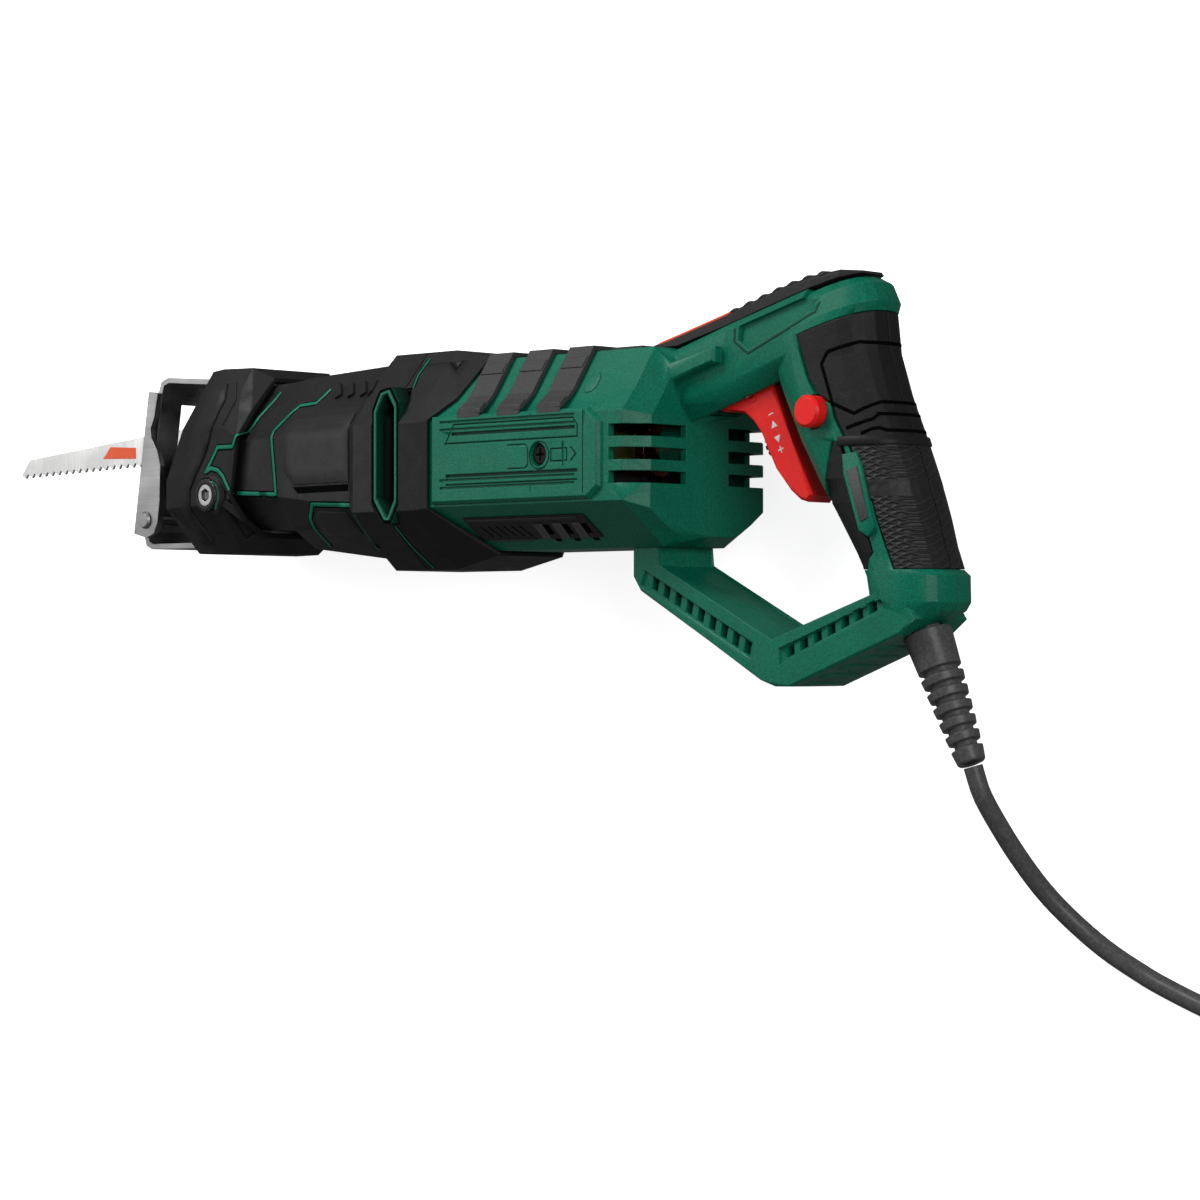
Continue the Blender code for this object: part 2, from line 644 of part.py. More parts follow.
def make_shoe():
    half = 19.2
    outer = [(-190, 39.0), (-213, 39.3), (-244, 41.6), (-248.6, 40.0), lean(-4.6, 56), lean(-4.6, -6.5),
             (-258.8, -31.6), (-255, -33.2), (-228, -33.2), (-192, -33.0)]
    inner = [(-192, -30.7), (-228, -30.9), (-254.5, -30.9), (-256.8, -29.8), lean(-2.3, -5.5),
             lean(-2.3, 55), (-246.8, 38.4), (-243.6, 39.3), (-213, 37.0), (-190, 36.7)]
    bracket = place("shoe_bracket", prism(outer + inner, -half, half), STEEL, 0.3, 1.0)
    ear = [lean(-3.4, -5), lean(2.5, -5), lean(4.5, -2), lean(4.5, 2), lean(2.5, 5), lean(-3.4, 5)]
    for side, spans in (("left", (-half, -half + 2.3)), ("right", (half - 2.3, half))):
        join(bracket, cutter(f"pin_ear_{side}", prism(ear, *spans)))
    slot = [lean(-12, 17), lean(4, 17), lean(4, 53), lean(-12, 53)]
    cut(bracket, cutter("bracket_slot", prism(slot, -7.5, 7.5)))
    pin_place = (SHOE_PIN_X, 0, SHOE_PIN_Z)
    cut(bracket, cutter("bracket_pin_hole", turned([(-30, 2.3), (30, 2.3)], "Y", pin_place, 16)))
    cheek = [(-7, -7), (2, -7.5), (6.5, -5), (8.2, 0), (8.2, 8), (6, 25), (3, 31), (-2, 36), (-3.2, 40),
             (-1.5, 45), (-0.8, 55.8), (-7, 55.8)]
    shoe = place("shoe_plate", prism([lean(*p) for p in cheek], -22.8, 22.8), STEEL, 0.3, 1.0,
                 origin=pin_place)
    hollow = [lean(-5, -20), lean(30, -20), lean(30, 70), lean(-5, 70)]
    cut(shoe, cutter("shoe_hollow", prism(hollow, -20.4, 20.4)))
    below = [lean(-20, -20), lean(30, -20), lean(30, 1), lean(-20, 1)]
    cut(shoe, cutter("shoe_gap", prism(below, -20.4, 20.4)))
    window = [lean(-20, 17), lean(-4, 17), lean(-4, 51), lean(-20, 51)]
    cut(shoe, cutter("shoe_window", prism(window, -8, 8)))
    cut(shoe, cutter("shoe_pin_hole", turned([(-30, 2.3), (30, 2.3)], "Y", pin_place, 16)))
    place("shoe_pin", turned([(-24.4, 3.0), (-23.2, 3.8), (-23.2, 1.9), (23.2, 1.9), (23.2, 3.8),
                              (24.4, 3.0)], "Y", pin_place, 16), STEEL, 0.25, 1.0, smooth=40)


# ---------------------------------------------------------------- blade and plunger

TOOTH_PITCH = 5.0


def make_blade():
    teeth = []
    first, last = -372.0, -262.0
    count = int((last - first) / TOOTH_PITCH)
    for i in range(count):
        x = first + i * TOOTH_PITCH
        base = 2.4 + 3.2 * i / count
        teeth += [(x, base), (x + 1.4, base + 2.0), (x + TOOTH_PITCH - 0.6, base + 0.7)]
    back = [(-259, 5.8), (-230, 6.0), (-228, 7.5), (-214, 7.5), (-214, 17.5), (-232, 20.6), (-259, 20.2),
            (-300, 16.9), (-368.7, 10.9), (BLADE_TIP_X, 4.0)]
    place("saw_blade", prism(teeth + back, -0.6, 0.6), STEEL, 0.3, 1.0)


def make_plunger():
    axis = (0, 0, PLUNGER_Z)
    rod = place("plunger", turned([(-204.7, 6.5), (-80, 6.5)], "X", axis, 20), STEEL, 0.25, 1.0, smooth=40)
    yoke = cutter("yoke_shape", box((GEAR_X - 6, -15, 3.4), (GEAR_X + 6, 15, 19)))
    join(rod, yoke)
    cut(rod, cutter("yoke_slot", box((GEAR_X - 3.4, -13, 0), (GEAR_X + 3.4, 13, 15))))
    clamp = place("blade_clamp", turned([(-229, 8.0), (-227, 10), (-205, 10)], "X", axis, 20), STEEL, 0.4,
                  1.0, smooth=40)
    cut(clamp, cutter("tang_slot", box((-240, -0.95, PLUNGER_Z - 5.2), (-212, 0.95, PLUNGER_Z + 9.6))))
    ring_profile = [(-222, 10.4), (-222, 13), (-220, 13.6), (-208, 13.6), (-208, 10.4)]
    place("clamp_collar", turned(ring_profile, "X", axis, 20, bored=True), BLACK, 0.5,
          origin=(-215, 0, PLUNGER_Z), smooth=40)
    place("bush_front", tube("X", -191, -180, 8.7, 6.85, axis, 20), BRASS, 0.4, 1.0, smooth=40)
    place("bush_rear", tube("X", -126, -114, 8.7, 6.85, axis, 20), BRASS, 0.4, 1.0, smooth=40)


# ---------------------------------------------------------------- gearbox

NOSE_TUBE_X = -193.0  # front end of the tube that guides the plunger
GEAR_TEETH = 30
PINION_TEETH = 6
PINION_TURN = math.pi  # puts a gap between pinion teeth where the crown gear has a tooth
GEAR_OUTER, GEAR_INNER = 25.0, 19.5
FACE_TOP, FACE_ROOT, WEB_TOP, GEAR_BOTTOM = -3.7, -6.0, -7.0, -12.0
PINION_TIP, PINION_ROOT = 5.3, 3.3


def make_gearbox():
    outer = scaled(BODY, 0.78)
    inner = scaled(BODY, 0.69)
    names = {"gearbox_case": (-60, -0.15), "gearbox_cover": (0.15, 60)}
    hollow = cutter("gearbox_hollow", loft([ring(inner, -108.5), ring(inner, -54)]))
    bearing = cutter("bearing_seat", turned([(-60, 8.4), (-40, 8.4)], "X", sides=24))
    for name, (low, high) in names.items():
        shell = place(name, loft([ring(outer, -112), ring(outer, -50.5)]), ALUMINIUM, 0.45, 1.0)
        axis = (0, 0, PLUNGER_Z)
        if name == "gearbox_cover":
            join(shell, cutter("nose_tube", turned([(NOSE_TUBE_X, 11.6), (-110, 11.6)], "X", axis, 24)))
        cut(shell, hollow, bearing)
        if name == "gearbox_cover":
            cut(shell, cutter("nose_bore", turned([(-210, 9.0), (-100, 9.0)], "X", axis, 24)))
        else:
            cut(shell, cutter("gear_shaft_bore", turned([(-40, 3.4), (-5, 3.4)], "Z", (GEAR_X, 0, 0), 16)))
        boolean(shell, "INTERSECT", cutter(name + "_half", box((-300, -60, low), (0, 60, high))))


def make_drive_gear():
    """A crown gear: its teeth stand up round its rim, under the pinion."""
    centre = (GEAR_X, 0, 0)
    count = GEAR_TEETH * 4
    share = 0.36
    corners = [(-share / 2 + 0.08, FACE_TOP), (share / 2 - 0.08, FACE_TOP), (share / 2 + 0.04, FACE_ROOT),
               (0.96 - share / 2, FACE_ROOT)]

    def circle(radius, height=None):
        points = []
        for tooth in range(GEAR_TEETH):
            for offset, level in corners:
                angle = math.tau * (tooth + offset) / GEAR_TEETH
                z = level if height is None else height
                points.append(on_axis("Z", z, radius, angle, centre))
        return points

    gear = place("drive_gear", loft([
        circle(3.2, GEAR_BOTTOM), circle(GEAR_OUTER, GEAR_BOTTOM), circle(GEAR_OUTER), circle(GEAR_INNER),
        circle(GEAR_INNER, WEB_TOP), circle(3.2, WEB_TOP),
    ], closed=True), STEEL, 0.4, 1.0, origin=(GEAR_X, 0, WEB_TOP))
    crank = (GEAR_X, CRANK_RADIUS, 0)
    join(gear, cutter("crank_pin", turned([(-9, 2.6), (2.4, 2.6)], "Z", crank, 12)))
    place("crank_roller", tube("Z", -4.5, 2.0, 4.6, 2.9, crank, 16), STEEL, 0.3, 1.0,
          origin=(GEAR_X, 0, 0), smooth=40)
    place("gear_shaft", turned([(-27, 3.0), (-5.8, 3.0)], "Z", centre, 16), STEEL, 0.3, 1.0,
          origin=(GEAR_X, 0, -16), smooth=40)


# ---------------------------------------------------------------- motor

def make_motor():
    stator = place("stator_core", tube("X", -30, 12, 31, 19.4, sides=32), GREY, 0.5, 0.6)
    for name, low, high in (("upper", 24, 156), ("lower", 204, 336)):
        slots = [sector(20.3, 27.2, a, a + 18, -40, 22, 3) for a in (low - 1, high - 17)]
        for i, slot in enumerate(slots):
            cut(stator, cutter(f"stator_slot_{name}_{i}", slot))
        coil = place(f"field_coil_{name}", sector(21, 26.5, low, high, -34, 16, 10), COPPER, 0.4, 0.8)
        cut(coil, cutter(f"coil_window_{name}", sector(10, 35, low + 16, high - 16, -30.4, 12.4, 10)))
    shaft = [(-62.3, 1.9), (-54, 1.9), (-54, 3.9), (51, 3.9)]
    place("armature_shaft", turned(shaft, "X", sides=16), STEEL, 0.3, 1.0, smooth=40)
    place("armature_core", toothed("X", -30, 12, 18.6, 14.5, 4.2, 12, 0.8), GREY, 0.45, 0.7)
    place("commutator", toothed("X", 19, 33, 10.5, 10.0, 4.2, 12, 0.8), COPPER, 0.35, 1.0)
    place("cooling_fan", toothed("X", -44, -37, 29, 9, 4.2, 9, 0.14), BLACK, 0.5)
    place("pinion", toothed("X", -62, -54.4, PINION_TIP, PINION_ROOT, 2.2, PINION_TEETH, 0.3,
                            turn=PINION_TURN), STEEL, 0.35, 1.0)
    place("bearing_front", tube("X", -53.5, -46.5, 8.1, 4.2, sides=24), STEEL, 0.25, 1.0, smooth=40)
    place("bearing_rear", tube("X", 43, 50, 8.1, 4.2, sides=24), STEEL, 0.25, 1.0, smooth=40)
    for side, sign in (("left", -1), ("right", 1)):
        spans = sorted((sign * 13.5, sign * 31))
        holder = place(f"brush_holder_{side}", box((20, spans[0], -6), (32, spans[1], 6)), BRASS, 0.4, 1.0)
        reach = sorted((sign * 5, sign * 28))
        cut(holder, cutter(f"brush_way_{side}", box((22.4, reach[0], -3.6), (29.6, reach[1], 3.6))))
        spans = sorted((sign * 10.9, sign * 26))
        place(f"carbon_brush_{side}", box((22.8, spans[0], -3.2), (29.2, spans[1], 3.2)), CARBON, 0.7)


# ---------------------------------------------------------------- switch, trigger, button

def make_controls():
    outline = [(67.0, 16.0), (68.5, 18.6), (77.0, 20.6), (92.0, 24.5), (95.5, 21.5), (105.5, 0.0),
               (115.0, -20.0), (112.6, -22.6), (109.0, -21.6), (104.3, -18.0), (98.5, -9.0), (93.6, -4.0),
               (90.8, 3.5), (87.6, 9.0), (82.5, 13.0), (72.1, 12.4), (68.2, 13.4)]
    trigger = place("trigger", prism(outline, -7, 7, 1.0), RED, 0.4, origin=TRIGGER_PIVOT)
    dial_room = DIAL_RADIUS + 0.6
    cut(trigger, cutter("dial_slot", turned([(-3.5, dial_room), (3.5, dial_room)], "Y", DIAL_CENTRE, 24)))
    cut(trigger, cutter("dial_pin_hole", turned([(-5.4, 1.6), (5.4, 1.6)], "Y", DIAL_CENTRE, 12)))
    cut(trigger, cutter("trigger_pin_hole", turned([(-9, 2.3), (9, 2.3)], "Y", TRIGGER_PIVOT, 16)))
    cut(trigger, cutter("spring_room", box((79, -3.6, 14), (90, 3.6, 30))))
    place("trigger_pin", turned([(-9.2, 2.0), (9.2, 2.0)], "Y", TRIGGER_PIVOT, 16), STEEL, 0.3, 1.0,
          origin=TRIGGER_PIVOT, smooth=40)
    place("trigger_spring", coil_spring(TRIGGER_PIVOT, 3.6, 0.5, -3.0, 3.0, 3.5), STEEL, 0.3, 1.0,
          origin=TRIGGER_PIVOT, smooth=60)
    dial = place("speed_dial", toothed("Y", -3, 3, DIAL_RADIUS, DIAL_RADIUS - 0.7, 1.0, 16, 0.5,
                                       DIAL_CENTRE), BLACK, 0.5, origin=DIAL_CENTRE)
    join(dial, cutter("dial_pin", turned([(-5, 1.3), (5, 1.3)], "Y", DIAL_CENTRE, 12)))
    switch = [(110, 16), (132, 16), (148, -18), (126, -18)]
    place("switch_body", prism(switch, -7.4, 7.4, 0.8), BLACK, 0.5)
    button = (BUTTON_X, 0, BUTTON_Z)
    place("lock_button", turned([(-22.6, BUTTON_RADIUS - 1), (-21.6, BUTTON_RADIUS), (-11.4, BUTTON_RADIUS)],
                                "Y", button, 24), RED, 0.4, origin=button, smooth=40)
    screw = (SCREW_X, 0, SCREW_Z)
    head = place("housing_screw_left", turned([(-40.6, 3.4), (-39.6, 4.2), (-37.6, 4.2), (-37.6, 2.0),
                                               (-32, 2.0)], "Y", screw, 16), STEEL, 0.4, 1.0, smooth=40)
    for i, (wide, tall) in enumerate(((2.4, 0.5), (0.5, 2.4))):
        cross = box((SCREW_X - wide, -45, SCREW_Z - tall), (SCREW_X + wide, -39.2, SCREW_Z + tall))
        cut(head, cutter(f"cross_{i}", cross))


def coil_spring(centre, radius, wire, start, end, turns):
    """A spring wound round an axis across the tool, as a tube with flat ends."""
    steps = int(turns * 10)
    rings = []
    for i in range(steps + 1):
        angle = math.tau * turns * i / steps
        spot = on_axis("Y", start + (end - start) * i / steps, radius, angle, centre)
        outward = (spot - Vector(centre)).normalized()
        outward.y = 0
        outward.normalize()
        rings.append([
            spot + outward * (wire * math.cos(a)) + Vector((0, wire * math.sin(a), 0))
            for a in (math.tau * k / 5 for k in range(5))
        ])
    return loft(rings)


# ---------------------------------------------------------------- cord

SLEEVE_START = Vector((163.0, 0.0, -69.8))
SLEEVE_END = Vector((183.5, 0.0, -117.2))
COIL_TURN_RADIUS = 41.0
COIL_WIDE, COIL_HIGH = 29.0, 21.5
COIL_CENTRE = (330.0, 0.0, -171.6)

# The cord's route from the sleeve down to the floor and along it to the coil
CORD_ROUTE = [
    (184.0, 0.0, -118.3), (186.4, 1.8, -128.0), (188.9, 7.4, -138.3), (192.5, 15.5, -151.0),
    (197.6, 24.0, -163.5), (205.2, 31.0, -174.2), (215.8, 36.0, -183.8), (229.4, 38.5, -191.6),
    (241.6, 38.5, -196.6), (253.8, 38.5, -200.9), (270.4, 38.5, -206.5), (286.4, 38.5, -211.8),
]


def sleeve_turned(profile, sides=16):
    """A shape turned round the sleeve's axis, its profile measured from the sleeve's start."""
    bm = turned(profile, "Z", sides=sides)
    axis = (SLEEVE_END - SLEEVE_START).normalized()
    turn = Vector((0, 0, 1)).rotation_difference(axis).to_matrix().to_4x4()
    bmesh.ops.transform(bm, matrix=Matrix.Translation(SLEEVE_START) @ turn, verts=bm.verts)
    return bm


def make_sleeve():
    length = (SLEEVE_END - SLEEVE_START).length
    profile = [(-7, 5.6), (1.2, 5.6), (1.2, 9.0), (16, 8.0), (30, 7.0), (length, 5.2)]
    place("cable_sleeve", sleeve_turned(profile), BLACK, 0.5, smooth=40)


def smooth_route(points, spacing):
    """Points at an even spacing along a Catmull-Rom curve through the route's points."""
    points = [Vector(p) for p in points]
    ends = [points[0] * 2 - points[1], *points, points[-1] * 2 - points[-2]]
    dense = []
    for a, b, c, d in zip(ends, ends[1:], ends[2:], ends[3:]):
        for i in range(20):
            t = i / 20
            dense.append(0.5 * (2 * b + (c - a) * t + (2 * a - 5 * b + 4 * c - d) * t * t
                                + (3 * b - a - 3 * c + d) * t ** 3))
    dense.append(points[-1])
    total = sum((b - a).length for a, b in zip(dense, dense[1:]))
    count = round(total / spacing)
    gone, made = 0.0, [dense[0]]
    for a, b in zip(dense, dense[1:]):
        step = (b - a).length
        while len(made) < count and gone + step >= total * len(made) / count:
            made.append(a.lerp(b, (total * len(made) / count - gone) / step))
        gone += step
    made.append(dense[-1])
    return made


def make_cord():
    route = smooth_route(CORD_ROUTE, CORD_DIAMETER * 2)
    curve = bpy.data.curves.new("cord_tube", "CURVE")
    curve.dimensions = "3D"
    curve.bevel_depth = CORD_DIAMETER / 2 * MM
    curve.bevel_resolution = 2
    curve.use_fill_caps = True
    spline = curve.splines.new("POLY")
    spline.points.add(len(route) - 1)
    for point, spot in zip(spline.points, route):
        point.co = (*(spot * MM), 1)
    curve.materials.append(material("cord_tube", GREY, 0.35, 0.0))
    tube_object = bpy.data.objects.new("cord_tube", curve)
    bpy.context.scene.collection.objects.link(tube_object)
    tube_object.parent = TOOL
    low, top = HALF_WIDTH, HALF_WIDTH - COIL_HIGH
    near, far = COIL_TURN_RADIUS - COIL_WIDE / 2, COIL_TURN_RADIUS + COIL_WIDE / 2
    coil = [(low, near + 3), (low, far - 3), (low - 5, far), (top + 5, far), (top, far - 5),
            (top, near + 5), (top + 5, near), (low - 5, near)]
    place("cord_coil", turned(coil, "Y", COIL_CENTRE, 36, bored=True), GREY, 0.35, smooth=50)


PLUG_RADIUS = 17.0


def make_plug():
    """A two-pin plug lying on the floor where the cord leaves the coil, its pins level."""
    x, z = COIL_CENTRE[0] + COIL_TURN_RADIUS, COIL_CENTRE[2] + 42.6
    centre_y = HALF_WIDTH - PLUG_RADIUS
    wide = PLUG_RADIUS
    profile = [(0, 5.0), (14, 6.5), (22, 12.0), (30, wide), (44, wide)]
    place("plug_body", turned(profile, "Z", (x, centre_y, z), 24), BLACK, 0.5, smooth=40)
    for number, offset in enumerate((-9.5, 9.5), start=1):
        pin = turned([(44 + GAP, 2.4), (62, 2.4), (63, 1.6)], "Z", (x + offset, centre_y, z), 12)
        place(f"plug_pin_{number}", pin, STEEL, 0.25, 1.0, smooth=40)


housing_halves = make_housing(make_grip_pads())
make_trim()
make_slot_frames(make_collar(), make_front_covers(), housing_halves)
make_shoe()
make_blade()
make_plunger()
make_gearbox()
make_drive_gear()
make_motor()
make_controls()
make_sleeve()
make_cord()
make_plug()
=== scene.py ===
"""Looks of the reciprocating saw, on the frame of its CAD bodies, lit and seen as in a studio.

Shapes are drawn upright in millimetres, as the tool is held: X from blade to handle, Y across the
tool with its left side at -Y, Z up, with the motor on the X axis. at() lays them on the frame,
where the tool lies on its right side.
"""

import json
import math

import bmesh
import bpy
from mathutils import Matrix, Vector
from mathutils.bvhtree import BVHTree


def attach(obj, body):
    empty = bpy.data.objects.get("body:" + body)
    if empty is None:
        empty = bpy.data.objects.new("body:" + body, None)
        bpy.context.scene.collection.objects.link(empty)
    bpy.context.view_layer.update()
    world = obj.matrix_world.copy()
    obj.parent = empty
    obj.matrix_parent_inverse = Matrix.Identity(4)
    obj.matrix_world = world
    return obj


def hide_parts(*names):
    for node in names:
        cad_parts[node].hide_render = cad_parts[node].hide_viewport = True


MM = 0.001
SHIFT = (98.75, 14.5, 42.0)  # the motor axis from the frame's origin, in its X, Y and Z

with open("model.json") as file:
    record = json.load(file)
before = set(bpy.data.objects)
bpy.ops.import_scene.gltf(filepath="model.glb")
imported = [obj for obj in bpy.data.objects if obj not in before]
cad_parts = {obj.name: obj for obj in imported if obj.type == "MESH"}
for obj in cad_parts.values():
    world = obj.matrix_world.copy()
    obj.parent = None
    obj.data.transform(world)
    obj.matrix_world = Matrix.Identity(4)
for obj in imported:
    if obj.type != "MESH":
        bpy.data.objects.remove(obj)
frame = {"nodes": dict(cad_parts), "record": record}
NODES = frame["nodes"]
BODY_OF = {node: body for body, nodes in frame["record"]["behaviour"]["bodies"].items() for node in nodes}
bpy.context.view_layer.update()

scene = bpy.context.scene
scene.view_settings.view_transform = "Standard"


def at(x, y, z):
    """A point of the upright tool, in millimetres, as a point of the frame in metres."""
    return Vector((x + SHIFT[0], z + SHIFT[1], SHIFT[2] - y)) * MM


# ---------------------------------------------------------------- camera and studio

CAMERA_ANGLE = math.radians(44.0)
CAMERA_PITCH = math.radians(0.75)
CAMERA_PLACE = (939.2, -972.5, -75.3)  # in the upright tool's millimetres
LENS, SENSOR_WIDTH = 103.5, 36.0
FAR_CLIP = 20
WORLD_STRENGTH = 0.13
LIT_MIDDLE = (0.0, 0.0, 0.04)  # where all lights point, in the frame
LIGHTS = {  # place in the frame, width and height in metres, watts
    "key_light": ((-0.32, 0.95, 0.85), (0.65, 0.4), 12.5),
    "front_light": ((-1.3, 0.35, 1.25), (0.9, 0.9), 4.5),
    "camera_fill": ((1.6, 0.35, 0.85), (0.9, 0.9), 14),
}
FLOOR_GAP = 0.0005  # the floor lies this far under the tool


def make_camera():
    """The camera behind the tool's left side, level and looking a little up."""
    data = bpy.data.cameras.new("camera")
    data.lens = LENS
    data.sensor_width = SENSOR_WIDTH
    data.clip_end = FAR_CLIP
    camera = bpy.data.objects.new("camera", data)
    scene.collection.objects.link(camera)
    scene.camera = camera
    level = math.cos(CAMERA_PITCH)
    forward = Vector((-math.sin(CAMERA_ANGLE) * level, math.sin(CAMERA_PITCH),
                      -math.cos(CAMERA_ANGLE) * level))
    up = Vector((0, 1, 0))
    right = forward.cross(up).normalized()
    up = right.cross(forward)
    camera.matrix_world = Matrix.Translation(at(*CAMERA_PLACE)) @ Matrix(
        (right, up, -forward)).transposed().to_4x4()


def area_light(name, place, size, watts):
    """A soft white light that points at the middle of the tool."""
    data = bpy.data.lights.new(name, "AREA")
    data.shape = "RECTANGLE"
    data.size, data.size_y = size
    data.energy = watts
    light = bpy.data.objects.new(name, data)
    scene.collection.objects.link(light)
    light.location = place
    light.rotation_euler = (Vector(LIT_MIDDLE) - Vector(place)).to_track_quat("-Z", "Y").to_euler()


def make_studio():
    """A pale world, three soft lights, and a plain floor that throws no light on the tool."""
    world = bpy.data.worlds.new("studio")
    scene.world = world
    world.use_nodes = True
    background = world.node_tree.nodes["Background"]
    background.inputs["Color"].default_value = (1, 1, 1, 1)
    background.inputs["Strength"].default_value = WORLD_STRENGTH
    for name, (place, size, watts) in LIGHTS.items():
        area_light(name, place, size, watts)
    bm = bmesh.new()
    bmesh.ops.create_grid(bm, x_segments=8, y_segments=8, size=4)
    mesh = bpy.data.meshes.new("floor")
    bm.to_mesh(mesh)
    bm.free()
    floor = bpy.data.objects.new("floor", mesh)
    scene.collection.objects.link(floor)
    floor.location.z = -FLOOR_GAP
    floor.visible_diffuse = False
    floor.visible_glossy = False
    mesh.materials.append(floor_material())


# ---------------------------------------------------------------- materials

SHINE = 0.22  # how much plastic mirrors, as the shader's specular level
GREEN = (0.0015, 0.152, 0.088)
# Dark green used as painted shade: in cut marks, along the arm's moulded line and deep in the slot.
PAINTED_SHADE_GREEN = (0.002, 0.050, 0.030)
BLACK = (0.013, 0.013, 0.014)
RUBBER = (0.011, 0.011, 0.0115)
RED = (0.86, 0.016, 0.014)
FLOOR_GLOW = 0.85
SLOT_DEPTH = 0.012
RIDGE_PITCH = 0.0021
RIDGE_BAND = (-0.0075, -0.0015)  # the frame's Y between which the grip is smooth


class Look:
    """A Principled material and its node tree, wired step by step."""

    def __init__(self, name, roughness, metallic=0.0):
        self.material = bpy.data.materials.new(name)
        self.material.use_nodes = True
        self.tree = self.material.node_tree
        self.shader = self.tree.nodes["Principled BSDF"]
        self.shader.inputs["Metallic"].default_value = metallic
        self.shader.inputs["Roughness"].default_value = roughness
        self.place = self.tree.nodes.new("ShaderNodeTexCoord").outputs["Object"]

    def node(self, kind, **values):
        """A shader node with its settings."""
        made = self.tree.nodes.new(kind)
        for name, value in values.items():
            setattr(made, name, value)
        return made

    def link(self, output, target):
        """One node's output wired to another's input."""
        self.tree.links.new(output, target)

    def noise(self, scale, detail=2.0, stretch=(1, 1, 1)):
        """Noise with about scale bumps to a metre, along each axis as stretched."""
        mapping = self.node("ShaderNodeMapping")
        mapping.inputs["Scale"].default_value = stretch
        self.link(self.place, mapping.inputs["Vector"])
        texture = self.node("ShaderNodeTexNoise")
        texture.inputs["Scale"].default_value = scale
        texture.inputs["Detail"].default_value = detail
        self.link(mapping.outputs["Vector"], texture.inputs["Vector"])
        return texture.outputs["Fac"]

    def ramp(self, fac, stops):
        """A colour ramp from (place, grey or colour) stops."""
        ramp = self.node("ShaderNodeValToRGB")
        self.link(fac, ramp.inputs["Fac"])
        elements = ramp.color_ramp.elements
        while len(elements) < len(stops):
            elements.new(0.5)
        for element, (place, value) in zip(elements, stops):
            element.position = place
            colour = value if isinstance(value, tuple) else (value,) * 3
            element.color = (*colour, 1)
        return ramp.outputs["Color"]

    def mix(self, fac, first, second, blend="MIX"):
        """Two colours mixed; each is a socket or a colour, and fac a socket or a number."""
        mix = self.node("ShaderNodeMix", data_type="RGBA", blend_type=blend)
        for index, value in ((0, fac), (6, first), (7, second)):
            if isinstance(value, bpy.types.NodeSocket):
                self.link(value, mix.inputs[index])
            else:
                mix.inputs[index].default_value = value if index == 0 else (*value, 1)
        return mix.outputs[2]

    def rounded(self, radius):
        """The normal with sharp edges rounded to a radius in metres."""
        bevel = self.node("ShaderNodeBevel", samples=4)
        bevel.inputs["Radius"].default_value = radius
        return bevel.outputs["Normal"]

    def edges(self, normal):
        """How far the rounded normal leans away from the face: where edge highlights are painted."""
        geometry = self.node("ShaderNodeNewGeometry")
        dot = self.node("ShaderNodeVectorMath", operation="DOT_PRODUCT")
        self.link(normal, dot.inputs[0])
        self.link(geometry.outputs["Normal"], dot.inputs[1])
        return self.ramp(dot.outputs["Value"], [(0.80, 1.0), (0.985, 0.0)])

    def bump(self, height, strength, distance, normal=None):
        """A normal leant by a height, over another normal where one is given."""
        bump = self.node("ShaderNodeBump")
        bump.inputs["Strength"].default_value = strength
        bump.inputs["Distance"].default_value = distance
        self.link(height, bump.inputs["Height"])
        if normal is not None:
            self.link(normal, bump.inputs["Normal"])
        return bump.outputs["Normal"]

    def math(self, operation, first, second):
        """A sum on two values, each a socket or a number."""
        node = self.node("ShaderNodeMath", operation=operation)
        for target, value in zip(node.inputs, (first, second)):
            if isinstance(value, bpy.types.NodeSocket):
                self.link(value, target)
            else:
                target.default_value = value
        return node.outputs["Value"]

    def split(self, vector, axis):
        """One axis of a vector."""
        node = self.node("ShaderNodeSeparateXYZ")
        self.link(vector, node.inputs["Vector"])
        return node.outputs[axis]

    def wave(self, way, pitch):
        """A rounded wave from 0 to 1 across a direction, with its pitch in metres."""
        dot = self.node("ShaderNodeVectorMath", operation="DOT_PRODUCT")
        self.link(self.place, dot.inputs[0])
        dot.inputs[1].default_value = tuple(value * math.tau / pitch for value in way)
        sine = self.math("SINE", dot.outputs["Value"], 0.0)
        half = self.math("MULTIPLY", sine, 0.5)
        return self.math("POWER", self.math("ADD", half, 0.5), 3.0)

    def colour(self, socket):
        """Wires the base colour."""
        self.link(socket, self.shader.inputs["Base Color"])

    def roughness(self, socket):
        """Wires the roughness."""
        self.link(socket, self.shader.inputs["Roughness"])

    def normal(self, socket):
        """Wires the normal."""
        self.link(socket, self.shader.inputs["Normal"])


def scaled(colour, factor):
    """A colour made lighter or darker, never over white."""
    return tuple(min(1.0, value * factor) for value in colour)


def plastic(name, colour, roughness, grain=1500.0, relief=0.35, speckle=0.35, edge_highlight=0.35, radius=0.0006,
            shine=SHINE):
    """Moulded plastic: spark-eroded grain, a fine speckle, uneven sheen and painted edge highlights."""
    look = Look(name, roughness)
    fine = look.noise(grain, 3.0)
    broad = look.noise(38.0, 3.0)
    tone = look.ramp(broad, [(0.3, scaled(colour, 0.86)), (0.7, scaled(colour, 1.12))])
    dots = look.ramp(fine, [(0.42, scaled(colour, 1 - speckle)), (0.62, scaled(colour, 1 + speckle))])
    body = look.mix(0.45, tone, dots)
    round_normal = look.rounded(radius)
    # Painted highlight: the colour is mixed towards a lighter one along the rounded edges.
    edge_highlight_mask = look.mix(look.edges(round_normal), (0, 0, 0), (edge_highlight, edge_highlight, edge_highlight))
    light = tuple(1.2 * value + 0.02 for value in colour)
    look.shader.inputs["Specular IOR Level"].default_value = shine
    look.colour(look.mix(edge_highlight_mask, body, light))
    sheen = look.ramp(look.noise(140.0, 4.0), [(0.3, roughness * 0.86), (0.7, min(1.0, roughness * 1.14))])
    look.roughness(sheen)
    look.normal(look.bump(fine, relief, 0.00012, round_normal))
    return look.material


